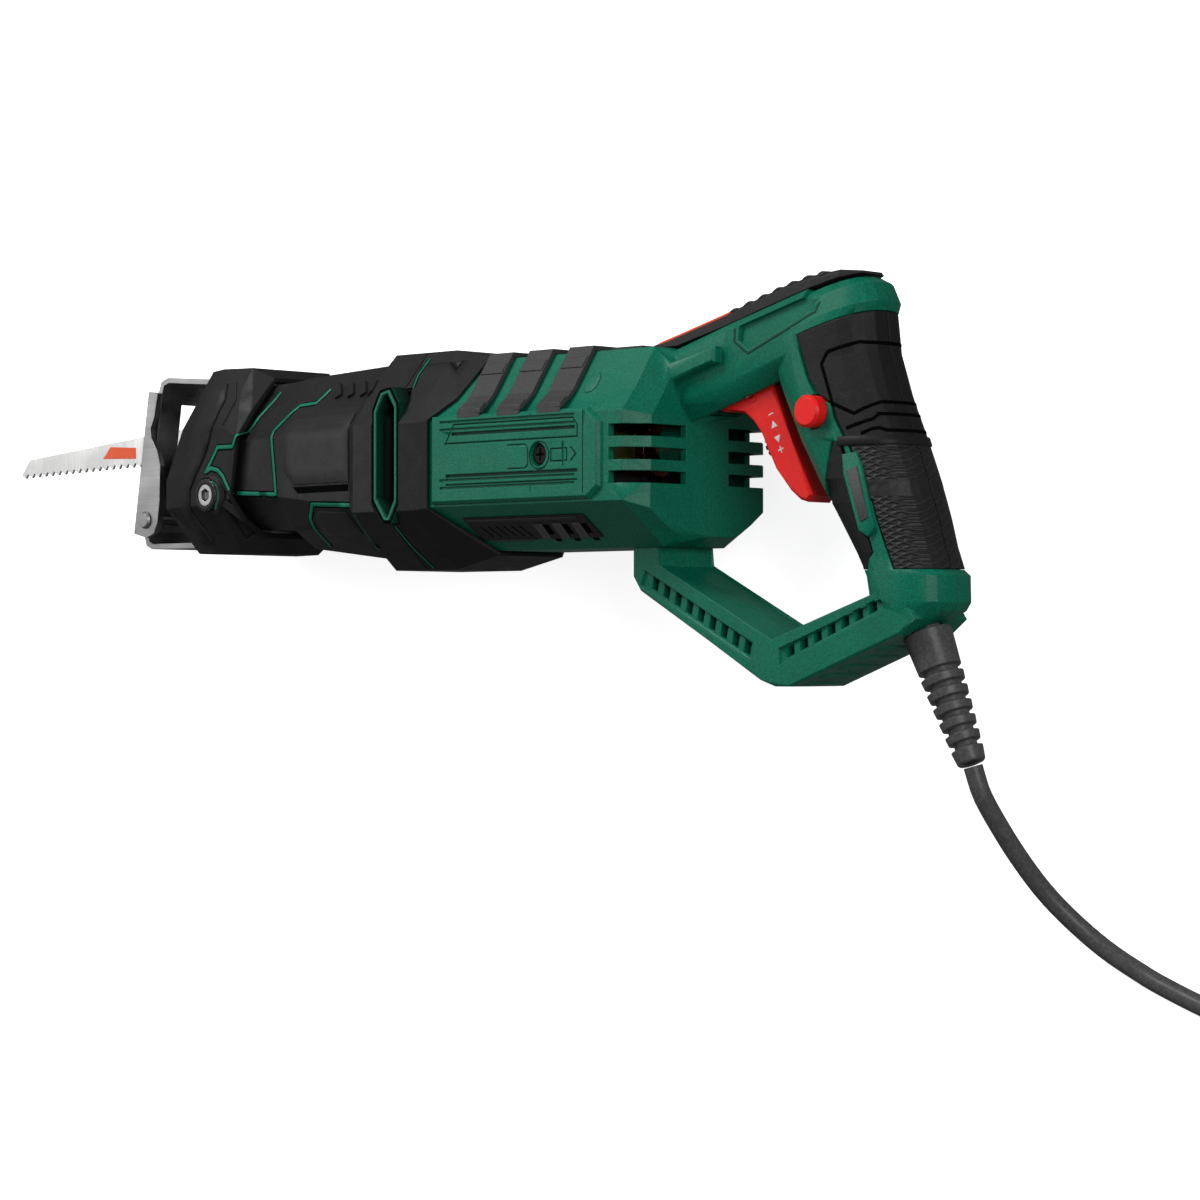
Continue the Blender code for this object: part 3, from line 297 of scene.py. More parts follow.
def metal(name, colour, roughness, along=(0.03, 1, 1), grain=1400.0, relief=0.25, radius=0.0003):
    """Ground metal: fine lines in one direction, smudges and bright edges."""
    look = Look(name, roughness, metallic=1.0)
    lines = look.noise(grain, 3.0, along)
    smudge = look.noise(55.0, 4.0)
    tone = look.ramp(smudge, [(0.3, scaled(colour, 0.82)), (0.7, scaled(colour, 1.08))])
    streaks = look.ramp(lines, [(0.35, scaled(colour, 0.8)), (0.65, scaled(colour, 1.1))])
    round_normal = look.rounded(radius)
    body = look.mix(0.4, tone, streaks)
    # Painted highlight: the colour is made brighter along the rounded edges.
    look.colour(look.mix(look.edges(round_normal), body, scaled(colour, 1.35)))
    look.roughness(look.ramp(smudge, [(0.3, roughness * 0.7), (0.7, min(1.0, roughness * 1.4))]))
    look.normal(look.bump(lines, relief, 0.00006, round_normal))
    return look.material


def ribbed_rubber():
    """Grip rubber with fine crossed ridges, left smooth in a band across the middle of the grip."""
    look = Look("ribbed_rubber", 0.5)
    look.shader.inputs["Specular IOR Level"].default_value = 0.4
    waves = [look.wave((0.5, 0.85, 0.35), RIDGE_PITCH), look.wave((-0.5, 0.85, -0.35), RIDGE_PITCH)]
    crossed = look.math("MAXIMUM", waves[0], waves[1])
    height = look.split(look.place, "Y")
    upper = look.math("GREATER_THAN", height, RIDGE_BAND[1])
    lower = look.math("LESS_THAN", height, RIDGE_BAND[0])
    ridges = look.math("MULTIPLY", crossed, look.math("ADD", upper, lower))
    fine = look.noise(1100.0, 3.0)
    tone = look.ramp(look.noise(40.0, 3.0), [(0.3, scaled(RUBBER, 0.85)), (0.7, scaled(RUBBER, 1.15))])
    # Painted highlight: the ridge crests are coloured lighter than the rubber between them.
    look.colour(look.mix(ridges, tone, scaled(RUBBER, 2.1)))
    look.roughness(look.ramp(fine, [(0.3, 0.42), (0.7, 0.6)]))
    round_normal = look.rounded(0.0009)
    grained = look.bump(fine, 0.4, 0.00012, round_normal)
    look.normal(look.bump(ridges, 0.9, 0.0006, grained))
    return look.material


def slot_green_painted_shade():
    """Green plastic with painted shade: it darkens towards the bottom of the long slot."""
    look = Look("slot_green_painted_shade", 0.42)
    look.shader.inputs["Specular IOR Level"].default_value = SHINE
    off = look.math("ABSOLUTE", look.math("SUBTRACT", look.split(look.place, "Z"), SHIFT[2] * MM), 0.0)
    depth = look.math("SUBTRACT", SHIFT[2] * MM, off)
    fine = look.noise(1700.0, 3.0)
    tone = look.ramp(fine, [(0.4, scaled(GREEN, 0.7)), (0.62, scaled(GREEN, 1.3))])
    # Painted shade: the green is mixed with near black, more the deeper it lies in the slot.
    dark = look.ramp(look.math("MULTIPLY", depth, 1 / SLOT_DEPTH), [(0.0, 0.75), (0.5, 1.0)])
    look.colour(look.mix(dark, tone, scaled(PAINTED_SHADE_GREEN, 0.25)))
    look.roughness(look.ramp(look.noise(140.0, 4.0), [(0.3, 0.36), (0.7, 0.5)]))
    look.normal(look.bump(fine, 0.4, 0.00012, look.rounded(0.0004)))
    return look.material


def floor_material():
    """Near-white paint with a faint grain, lit from within so that it shows no horizon."""
    look = Look("floor", 0.85)
    look.colour(look.ramp(look.noise(60.0, 5.0), [(0.3, 0.93), (0.7, 0.96)]))
    look.normal(look.bump(look.noise(900.0, 3.0), 0.05, 0.0002))
    look.link(look.ramp(look.noise(3.0, 2.0), [(0.3, 0.98), (0.7, 1.0)]),
              look.shader.inputs["Emission Color"])
    look.shader.inputs["Emission Strength"].default_value = FLOOR_GLOW
    return look.material


LOOKS = {
    "green": plastic("green_plastic", GREEN, 0.42, grain=1700.0, relief=0.45, speckle=0.5, edge_highlight=0.1),
    "painted_shade_green": plastic("green_painted_groove_shade", PAINTED_SHADE_GREEN, 0.5, grain=1700.0),
    "line_green": plastic("green_inlay", scaled(GREEN, 1.1), 0.4, grain=1700.0, radius=0.0002),
    "black": plastic("black_plastic", BLACK, 0.42, grain=1500.0, relief=0.5, edge_highlight=0.3),
    "dull_black": plastic("black_bands", (0.028, 0.027, 0.028), 0.5, grain=1500.0, relief=0.4, edge_highlight=0.45),
    "band": plastic("grey_bands", (0.05, 0.05, 0.051), 0.5, grain=1500.0, relief=0.4, edge_highlight=0.45),
    "rubber": plastic("black_rubber", RUBBER, 0.56, grain=1100.0, relief=0.6, edge_highlight=0.25, radius=0.0009),
    "red": plastic("red_plastic", RED, 0.36, grain=1700.0, relief=0.25, speckle=0.12, edge_highlight=0.25),
    "orange": plastic("orange_print", (0.9, 0.13, 0.05), 0.45, speckle=0.1, edge_highlight=0.1),
    "satin_black": plastic("black_pad", (0.021, 0.021, 0.022), 0.38, grain=1500.0, relief=0.3, edge_highlight=0.4),
    "grey_rib": plastic("grey_plastic", (0.075, 0.075, 0.077), 0.42, grain=1500.0, relief=0.3, edge_highlight=0.4),
    "ribbed": ribbed_rubber(),
    "slot_green_painted_shade": slot_green_painted_shade(),
    # Near black for seams and moulded lines, and for painted shadows beside raised pieces and round the
    # slot.
    "seam_and_painted_shadow": plastic("dark_seam_and_painted_shadow", (0.0015, 0.002, 0.002), 0.8, edge_highlight=0.0, shine=0.02),
    "dark": plastic("near_black_and_painted_shade", (0.006, 0.006, 0.006), 0.7),
    "cable": plastic("cable_jacket", (0.085, 0.085, 0.086), 0.32, grain=900.0, relief=0.15, edge_highlight=0.0),
    "steel": metal("bright_steel", (0.33, 0.33, 0.33), 0.34),
    "blade": metal("blade_steel", (0.82, 0.82, 0.81), 0.42, along=(1, 0.03, 1)),
    "polished": metal("polished_steel", (0.5, 0.5, 0.5), 0.16),
    "cast": metal("cast_aluminium", (0.16, 0.16, 0.165), 0.6, along=(1, 1, 1), grain=500.0, relief=0.5),
    "copper": metal("copper_winding", (0.30, 0.11, 0.05), 0.35, grain=700.0, relief=0.6),
    "brass": metal("brass_fitting", (0.72, 0.52, 0.22), 0.3),
    "iron": metal("iron_core", (0.2, 0.2, 0.21), 0.5, along=(1, 0.05, 0.05), grain=900.0, relief=0.6),
    "carbon": plastic("carbon_brush", (0.02, 0.02, 0.021), 0.45, grain=2500.0),
    "white": plastic("white_mark", (0.75, 0.75, 0.73), 0.5, speckle=0.06, edge_highlight=0.0),
}

NODE_LOOKS = {
    "green": ["housing_left", "housing_right"],
    "slot_green_painted_shade": ["slot_frame_left", "slot_frame_right"],
    "black": ["front_cover_left", "front_cover_right", "side_inlay_left", "side_inlay_right",
              "clamp_collar", "cooling_fan", "speed_dial", "switch_body"],
    "dull_black": ["arm_pad"],
    "band": ["motor_saddle"],
    "rubber": ["nose_boot", "bumper_collar", "grip_pad_upper_left", "grip_pad_upper_right",
               "grip_pad_front_left", "grip_pad_front_right", "plug_body", "cable_sleeve"],
    "ribbed": ["grip_pad_rear_left", "grip_pad_rear_right"],
    "red": ["trigger", "lock_button"],
    "steel": ["shoe_bracket", "shoe_plate", "shoe_pin", "shoe_bolt", "plunger", "blade_clamp",
              "drive_gear", "crank_roller", "gear_shaft", "pinion", "armature_shaft", "trigger_pin",
              "trigger_spring"],
    "blade": ["saw_blade"],
    "polished": ["bearing_front", "bearing_rear", "plug_pin_1", "plug_pin_2"],
    "cast": ["gearbox_case", "gearbox_cover"],
    "copper": ["field_coil_upper", "field_coil_lower", "commutator"],
    "brass": ["bush_front", "bush_rear", "brush_holder_left", "brush_holder_right"],
    "iron": ["stator_core", "armature_core"],
    "carbon": ["carbon_brush_left", "carbon_brush_right"],
    "dark": ["housing_screw_left"],
    "cable": ["cord_tube", "cord_coil"],
}
FLAT_WEIGHT = 90
NODE_SHARP, PIECE_SHARP, PAD_SHARP, CARVED_SHARP = 28, 35, 30, 15  # degrees, above which an edge is sharp


def flatten(obj):
    """Keeps large faces flat in the shading, beside small rounded ones."""
    modifier = obj.modifiers.new("flat_faces", "WEIGHTED_NORMAL")
    modifier.keep_sharp = True
    modifier.weight = FLAT_WEIGHT


def finish_nodes():
    """Gives each CAD node its look and its shading."""
    for look, names in NODE_LOOKS.items():
        for name in names:
            mesh = NODES[name].data
            mesh.materials.clear()
            mesh.materials.append(LOOKS[look])
            mesh.shade_smooth()
            mesh.set_sharp_from_angle(angle=math.radians(NODE_SHARP))
            flatten(NODES[name])


# ---------------------------------------------------------------- shape tools

SPLINE_STEPS = 12
ROUND_POINTS = 28


def make(name, bm, look, body, sharp=PIECE_SHARP):
    """A piece that rides on a body, from a bmesh in the upright tool's millimetres."""
    for vert in bm.verts:
        vert.co = at(*vert.co)
    bmesh.ops.recalc_face_normals(bm, faces=bm.faces)
    mesh = bpy.data.meshes.new(name)
    bm.to_mesh(mesh)
    bm.free()
    mesh.materials.append(LOOKS[look])
    mesh.shade_smooth()
    mesh.set_sharp_from_angle(angle=math.radians(sharp))
    obj = bpy.data.objects.new(name, mesh)
    scene.collection.objects.link(obj)
    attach(obj, body)
    return obj


def loft(rings, closed=False):
    """Rings of points bridged one to the next: capped at both ends, or joined last to first."""
    bm = bmesh.new()
    loops = [[bm.verts.new(point) for point in ring] for ring in rings]
    pairs = list(zip(loops, loops[1:]))
    if closed:
        pairs.append((loops[-1], loops[0]))
    else:
        bm.faces.new(loops[0][::-1])
        bm.faces.new(loops[-1])
    count = len(loops[0])
    for first, second in pairs:
        for i in range(count):
            j = (i + 1) % count
            bm.faces.new((first[i], first[j], second[j], second[i]))
    return bm


def curve(name, points, radius, look, body, cyclic=False, resolution=4):
    """A round line through points of the upright tool, in millimetres."""
    data = bpy.data.curves.new(name, "CURVE")
    data.dimensions = "3D"
    data.bevel_depth = radius * MM
    data.bevel_resolution = resolution
    data.use_fill_caps = True
    spline = data.splines.new("POLY")
    spline.points.add(len(points) - 1)
    for point, spot in zip(spline.points, points):
        point.co = (*at(*spot), 1)
    spline.use_cyclic_u = cyclic
    spline.use_smooth = True
    data.materials.append(LOOKS[look])
    obj = bpy.data.objects.new(name, data)
    scene.collection.objects.link(obj)
    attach(obj, body)
    return obj


def even_points(points, spacing):
    """Points at an even spacing along a Catmull-Rom curve through the given points."""
    points = [Vector(p) for p in points]
    ends = [points[0] * 2 - points[1], *points, points[-1] * 2 - points[-2]]
    dense = []
    for a, b, c, d in zip(ends, ends[1:], ends[2:], ends[3:]):
        for i in range(SPLINE_STEPS):
            t = i / SPLINE_STEPS
            dense.append(0.5 * (2 * b + (c - a) * t + (2 * a - 5 * b + 4 * c - d) * t * t
                                + (3 * b - a - 3 * c + d) * t ** 3))
    dense.append(points[-1])
    made, gone = [dense[0]], 0.0
    for a, b in zip(dense, dense[1:]):
        gone += (b - a).length
        if gone >= spacing:
            made.append(b)
            gone = 0.0
    return made


# ---------------------------------------------------------------- cord, sleeve and plug

CORD_DIAMETER = 7.0
SLEEVE_TAPER = [(1.2, 9.0), (16, 8.0), (30, 7.0), (51.7, 5.3)]  # distance along it, radius
FIRST_RIB, RIB_PITCH, RIB_DEPTH = 15.5, 5.6, 1.7
SLEEVE_START, SLEEVE_END = Vector((163.0, 0.0, -69.8)), Vector((183.5, 0.0, -117.2))
CORD_ROUTE = [
    (184.0, 0.0, -118.3), (186.4, 1.8, -128.0), (188.9, 7.4, -138.3), (192.5, 15.5, -151.0),
    (197.6, 24.0, -163.5), (205.2, 31.0, -174.2), (215.8, 36.0, -183.8), (229.4, 38.5, -191.6),
    (241.6, 38.5, -196.6), (253.8, 38.5, -200.9), (270.4, 38.5, -206.5), (286.4, 38.5, -211.8),
]
COIL_CENTRE = (330.0, -171.6)
COIL_START = math.radians(-108.5)  # where the cord meets the coil's outer turn
COIL_OUTER, COIL_INNER = 51.8, 30.2
LAYERS = [38.5, 31.4, 24.2, 17.0]
COIL_LAYS = [  # turns, radius from and to, height from and to
    (3.0, COIL_OUTER, COIL_INNER, LAYERS[0], LAYERS[0]),
    (0.5, COIL_INNER, COIL_INNER, LAYERS[0], LAYERS[1]),
    (3.0, COIL_INNER, COIL_OUTER, LAYERS[1], LAYERS[1]),
    (0.5, COIL_OUTER, COIL_OUTER, LAYERS[1], LAYERS[2]),
    (2.5, COIL_OUTER, COIL_INNER, LAYERS[2], LAYERS[2]),
    (0.35, COIL_INNER, 33.0, LAYERS[2], LAYERS[3]),
    (0.45, 33.0, 41.0, LAYERS[3], LAYERS[3]),
]
TURN_POINTS = 16
CORD_SPACING = 3.4
PLUG_START = (371.0, 25.0, -129.0)
TIE_ANGLE = math.radians(52.0)
TIE_HEIGHT, TIE_RADIUS = 30.6, 41.0  # the middle of the bundle that the tie holds
TIE_WIDTH, TIE_DEPTH = 14.8, 10.2
TIE_POINTS = 32


def coil_points():
    """The coil's turns, wound layer on layer."""
    points, angle = [], COIL_START
    for turns, r0, r1, y0, y1 in COIL_LAYS:
        steps = max(4, round(turns * TURN_POINTS))
        for i in range(steps):
            share = i / steps
            radius, height = r0 + (r1 - r0) * share, y0 + (y1 - y0) * share
            turn = angle + math.tau * turns * share
            points.append((COIL_CENTRE[0] + radius * math.cos(turn), height,
                           COIL_CENTRE[1] + radius * math.sin(turn)))
        angle += math.tau * turns
    return points


def along_sleeve(profile):
    """A shape turned round the sleeve's axis from (distance, radius) points."""
    axis = (SLEEVE_END - SLEEVE_START).normalized()
    side = Vector((0, 1, 0))
    other = axis.cross(side)
    turns = [math.tau * k / ROUND_POINTS for k in range(ROUND_POINTS)]
    rings = [[SLEEVE_START + axis * d + (side * math.cos(a) + other * math.sin(a)) * r for a in turns]
             for d, r in profile]
    return loft(rings)


def sleeve_radius(distance):
    """The sleeve tapers from its collar to its end."""
    for (d0, r0), (d1, r1) in zip(SLEEVE_TAPER, SLEEVE_TAPER[1:]):
        if distance <= d1:
            return r0 + (r1 - r0) * (distance - d0) / (d1 - d0)
    return SLEEVE_TAPER[-1][1]


def make_sleeve():
    """The ribbed strain relief where the cord leaves the handle."""
    profile = [(-7, 5.6), (1.3, 5.6), (1.3, 8.6), (1.9, 9.0)]
    profile += [(distance, sleeve_radius(distance)) for distance in (2.6, 15.0)]
    length = (SLEEVE_END - SLEEVE_START).length
    rib_start = FIRST_RIB
    while rib_start < length - 3.0:
        outer, root = sleeve_radius(rib_start), sleeve_radius(rib_start) - RIB_DEPTH
        profile += [(rib_start, outer), (rib_start + 0.5, root), (rib_start + 2.3, root),
                    (rib_start + 2.8, outer)]
        rib_start += RIB_PITCH
    profile += [(length - 0.6, 5.2), (length, 4.7)]
    sleeve = make("strain_relief", along_sleeve(profile), "cable", "saw", PAD_SHARP)
    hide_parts("cable_sleeve")
    return sleeve


def make_cord(sleeve):
    """The cord from its sleeve through its coil to the plug, and the tie round the coil."""
    x, y, z = PLUG_START
    last_run = [(x, LAYERS[3] + 2.5, z - 27), (x, y, z - 6), (x, y, z + 6)]
    route = CORD_ROUTE[:-1] + coil_points() + last_run
    line = [(p.x, min(p.y, LAYERS[0]), p.z) for p in even_points(route, CORD_SPACING)]
    cord = curve("power_cord", line, CORD_DIAMETER / 2, "cable", "saw", resolution=6)
    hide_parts("cord_tube", "cord_coil")
    out = Vector((math.cos(TIE_ANGLE), 0, math.sin(TIE_ANGLE)))
    middle = Vector((COIL_CENTRE[0], TIE_HEIGHT, COIL_CENTRE[1])) + out * TIE_RADIUS
    turns = [math.tau * k / TIE_POINTS for k in range(TIE_POINTS)]
    tie = [middle + out * (TIE_WIDTH * math.cos(a)) + Vector((0, TIE_DEPTH * math.sin(a), 0)) for a in turns]
    strap = curve("cord_tie", tie, 1.1, "dark", "saw", cyclic=True)


# ---------------------------------------------------------------- detail on the CAD surfaces

LEFT, RIGHT = -1, 1
GUARD_LOW, GUARD_SLOPE, TOP_Z = -90.5, 0.36, 61.5
RAY_START, RAY_TOP = 70.0, 90.0  # beside and above the tool, where rays at its surface start
STRIP_SPACING = 1.2
STRIP_SINK, PLATE_SINK = 0.35, 0.4  # how deep the underside lies in the surface
PLATE_CELL = 3.0
SIDE_NAMES = {LEFT: "left", RIGHT: "right"}


def upright(point):
    """A point of the frame, in metres, as a point of the upright tool in millimetres."""
    return Vector((point.x / MM - SHIFT[0], SHIFT[2] - point.z / MM, point.y / MM - SHIFT[1]))


def surface(*names):
    """The surfaces of nodes as one tree to cast rays at, in the upright tool's millimetres."""
    corners, faces = [], []
    for name in names:
        mesh = NODES[name].data
        start = len(corners)
        corners += [upright(vert.co) for vert in mesh.vertices]
        faces += [[start + i for i in face.vertices] for face in mesh.polygons]
    return BVHTree.FromPolygons(corners, faces)


SHELL = surface("housing_left", "housing_right", "front_cover_left", "front_cover_right", "nose_boot",
                "bumper_collar", "motor_saddle", "side_inlay_left", "side_inlay_right",
                "slot_frame_left", "slot_frame_right")
GRIP = surface("grip_pad_upper_left", "grip_pad_upper_right", "grip_pad_rear_left", "grip_pad_rear_right",
               "grip_pad_front_left", "grip_pad_front_right")
HANDLE = surface("housing_left", "housing_right", "grip_pad_upper_left", "grip_pad_upper_right",
                 "grip_pad_rear_left", "grip_pad_rear_right")
BOOT = surface("nose_boot")


def touch(tree, x, z, side):
    """Where a line across the tool first meets a surface, and which way the surface faces there."""
    hit, normal, _, _ = tree.ray_cast(Vector((x, side * RAY_START, z)), Vector((0, -side, 0)))
    if hit is None:
        return None
    return hit, normal


def inside(point):
    """The point, kept between the tool's two flat sides and below its top."""
    return Vector((point[0], max(-SHIFT[2], min(SHIFT[2], point[1])), min(TOP_Z, point[2])))


def evenly(points, spacing, closed=False):
    """Points along straight lines through (x, z) points, their corners kept."""
    corners = [Vector(p) for p in points]
    if closed:
        corners.append(corners[0])
    made = []
    for a, b in zip(corners, corners[1:]):
        steps = max(1, round((b - a).length / spacing))
        made += [a.lerp(b, i / steps) for i in range(steps)]
    return made if closed else [*made, corners[-1]]


def strip(name, points, width, look, tree=None, side=LEFT, height=0.25, body="saw", closed=False):
    """A low rib with bevelled edges, laid on a surface through (x, z) points."""
    tree = tree or SHELL
    found = [touch(tree, p.x, p.y, side) for p in evenly(points, STRIP_SPACING, closed)]
    return rib(name, [f for f in found if f], width, look, height, body, closed)


def rib(name, found, width, look, height, body="saw", closed=False):
    """A low rib with bevelled edges along places on a surface, each with the way it faces."""
    rings = []
    for i, (spot, normal) in enumerate(found):
        before = found[i - 1][0] if closed or i else spot
        after = found[(i + 1) % len(found)][0] if closed or i + 1 < len(found) else spot
        across = normal.cross(after - before).normalized() * (width / 2)
        top, low = normal * height, normal * -STRIP_SINK
        rings.append([inside(p) for p in (
            spot - across + low, spot - across + top * 0.5, spot - across * 0.7 + top,
            spot + across * 0.7 + top, spot + across + top * 0.5, spot + across + low)])
    return make(name, loft(rings, closed), look, body)


def cut_cells(outline):
    """A flat (x, z) outline cut into a grid of cells."""
    bm = bmesh.new()
    bm.faces.new([bm.verts.new((x, 0, z)) for x, z in outline])
    for axis in (0, 2):
        low = min(p[axis // 2] for p in outline)
        high = max(p[axis // 2] for p in outline)
        for i in range(1, max(1, round((high - low) / PLATE_CELL))):
            cut = Vector((0, 0, 0))
            cut[axis] = low + i * PLATE_CELL
            way = Vector((0, 0, 0))
            way[axis] = 1.0
            bmesh.ops.bisect_plane(bm, geom=[*bm.verts, *bm.edges, *bm.faces], plane_co=cut, plane_no=way)
    return bm


def plate(name, outline, look, tree=None, side=LEFT, height=0.4, body="saw", edge=0.0):
    """A thin pad that follows a surface inside an (x, z) outline, with a bevelled edge."""
    tree = tree or SHELL
    bm = cut_cells(outline)
    if edge:
        bmesh.ops.inset_region(bm, faces=list(bm.faces), thickness=edge, depth=0.0)
    rim = {v for v in bm.verts if v.is_boundary}
    flat = {v: Vector(v.co) for v in bm.verts}
    made = bmesh.ops.extrude_face_region(bm, geom=list(bm.faces))
    tops = [v for v in made["geom"] if isinstance(v, bmesh.types.BMVert)]
    places = {}
    for vert in bm.verts:
        found = touch(tree, vert.co.x, vert.co.z, side)
        if found is None:
            found = (Vector((vert.co.x, 0, vert.co.z)), Vector((0, side, 0)))
        lift = -PLATE_SINK
        if vert in tops:
            on_rim = any((vert.co - flat[v]).length < 1e-4 for v in rim)
            lift = height * 0.45 if edge and on_rim else height
        places[vert] = found[0] + found[1] * lift
    for vert, place in places.items():
        vert.co = inside(place)
    return make(name, bm, look, body, PAD_SHARP)


def circle(x, z, radius):
    """Points round a circle."""
    turns = [math.tau * k / ROUND_POINTS for k in range(ROUND_POINTS)]
    return [(x + radius * math.cos(turn), z + radius * math.sin(turn)) for turn in turns]


def ring(name, x, z, radius, width, look, tree=None, side=LEFT, height=0.25, body="saw"):
    """A low rib in a circle."""
    return strip(name, circle(x, z, radius), width, look, tree, side, height, body, closed=True)


def row(first, pitch, count):
    """Numbers from 1, each with its even place, for a row of like pieces."""
    return [(i + 1, first + pitch * i) for i in range(count)]


def make_cover_lines(side):
    """The green lines on the nose boot and the front cover, and the pad between them."""
    tag = SIDE_NAMES[side]
    upper = [(-169.5, 31.5), (-170.2, 28.4), (-179.5, 10.2), (-180.5, 8.3), (-192.4, 8.5), (-200.7, -2.0),
             (-196.8, -0.2), (-191.6, -1.2), (-187.7, -3.8), (-184.2, -8.0), (-181.7, -11.2),
             (-154.0, -12.6), (-157.8, 14.0), (-146.9, 24.4), (-136.7, 24.9), (-133.1, 30.7)]
    lower = [(-98.0, -36.5), (-104.4, -18.6), (-129.5, -17.5), (-134.8, -22.8), (-137.3, -34.2)]
    for place, points in (("upper", upper), ("lower", lower)):
        # Painted shadow: a wider near-black strip under each green line darkens its edges.
        strip(f"cover_line_bed_{place}_{tag}", points, 2.9, "seam_and_painted_shadow", side=side, height=0.1)
        strip(f"cover_line_{place}_{tag}", points, 1.7, "line_green", side=side, height=0.3)
    pad = [(-148.8, 13.9), (-145.2, 18.0), (-104.6, 19.0), (-104.2, -9.2), (-141.1, -9.2), (-148.0, -3.2)]
    plate(f"cover_pad_{tag}", pad, "satin_black", side=side, height=0.9, edge=1.4)
    shade = [(-142.0, -10.0), (-104.6, -10.0), (-104.6, -12.8), (-138.6, -12.8)]
    plate(f"cover_shade_{tag}", shade, "seam_and_painted_shadow", side=side, height=0.08)
    for number, x in row(-129.0, 8.2, 4):
        ridge = [(x, 31.8), (x + 5.6, 26.6)]
        strip(f"cover_ridge_{number}_{tag}", ridge, 3.6, "black", side=side, height=1.1)
    low_pad = [(-127.6, -20.4), (-108.0, -21.4), (-106.0, -30.0), (-131.5, -30.0), (-131.5, -23.8)]
    plate(f"cover_low_pad_{tag}", low_pad, "satin_black", side=side, height=0.5, edge=1.0)


def make_bolt_rings(side):
    """The raised boss and green ring round the shoe's clamping bolt, and the dark rim of its head."""
    tag = SIDE_NAMES[side]
    if side == LEFT:
        ring("bolt_rim", -200.0, -11.5, 5.6, 2.2, "black", surface("shoe_bolt"), side, 0.3)
    x, z = -196.6, -11.7
    ring(f"bolt_boss_{tag}", x, z, 7.4, 2.6, "black", side=side, height=0.5)
    ring(f"bolt_ring_{tag}", x, z, 6.0, 1.1, "line_green", side=side, height=0.35)


def slot_line(inset):
    """The slot frame's outline, moved inwards."""
    slot_middle = -79.0
    outer = [(-87.0, 20.0), (-83.0, 27.0), (-75.0, 28.0), (-71.0, 22.0), (-71.0, -20.0), (-75.0, -27.0),
             (-81.0, -27.0), (-87.0, -19.0)]
    return [(x - math.copysign(inset, x - slot_middle), z - math.copysign(inset, z)) for x, z in outer]


def make_collar_lines(side):
    """A near-black plate of painted shade on the bottom of the long slot, and the green lines that run on
    from both its ends.
    """
    tag = SIDE_NAMES[side]
    slot = [(-84.6, 18.6), (-81.8, 24.0), (-75.8, 25.0), (-73.2, 21.0), (-73.2, -19.4), (-76.0, -24.4),
            (-80.0, -24.4), (-84.6, -17.8)]
    # Painted shade: a near-black plate on the slot's bottom.
    plate(f"slot_floor_painted_shade_{tag}", slot, "dark", side=side, height=0.15)
    frame_face = surface(f"slot_frame_{tag}")
    strip(f"slot_shadow_{tag}", slot_line(0.9), 1.2, "seam_and_painted_shadow", frame_face, side, 0.05, closed=True)
    strip(f"slot_rim_{tag}", slot_line(2.0), 1.1, "line_green", frame_face, side, 0.3, closed=True)
    for place, points in (("upper", [(-74.1, 27.6), (-76.2, 33.2), (-75.4, 40.0)]),
                          ("lower", [(-78.6, -27.7), (-77.3, -37.1), (-74.8, -44.3)])):
        strip(f"collar_split_bed_{place}_{tag}", points, 2.0, "seam_and_painted_shadow", side=side, height=0.08)
        strip(f"collar_split_{place}_{tag}", points, 0.9, "line_green", side=side, height=0.2)


def make_grip_lines(side):
    """The moulded lines of the smooth upper pad and the ribbed fields on the side of the grip."""
    tag = SIDE_NAMES[side]
    lines = {
        "window": [(143.6, 34.2), (142.0, 34.4), (130.5, 31.2), (127.9, 26.8), (133.6, 12.3), (142.8, 8.2),
                   (150.4, 12.3)],
        "step": [(140.1, 2.9), (149.4, 6.0), (151.0, 7.9)],
        "waist": [(146.2, 0.8), (150.0, 2.5), (152.0, 2.8), (154.0, 1.9)],
    }
    for place, points in lines.items():
        strip(f"grip_{place}_{tag}", points, 1.3, "seam_and_painted_shadow", GRIP, side, 0.22)


def round_grip(x, z, reach):
    """Where a level ring of rays, out to an angle each side of straight back, meets the grip."""
    found = []
    for degrees in range(-reach, reach + 1, 5):
        way = Vector((math.cos(math.radians(degrees)), math.sin(math.radians(degrees)), 0))
        hit, normal, _, _ = HANDLE.ray_cast(Vector((x, 0, z)) + way * 60, -way)
        if hit:
            found.append((hit, normal))
    return found


def make_grip_back():
    """The grip's moulded lines where they run round its back, and the web that joins its pads."""
    for place, x, z, reach in (("top", 136.0, 34.2, 55), ("window", 143.0, 12.3, 55),
                               ("step", 144.5, 7.9, 65), ("waist", 148.0, 1.9, 65)):
        rib(f"grip_back_{place}", round_grip(x, z, reach), 1.3, "seam_and_painted_shadow", 0.22)
    rib("grip_joint", round_grip(147.0, -1.7, 120), 3.6, "rubber", 0.7)


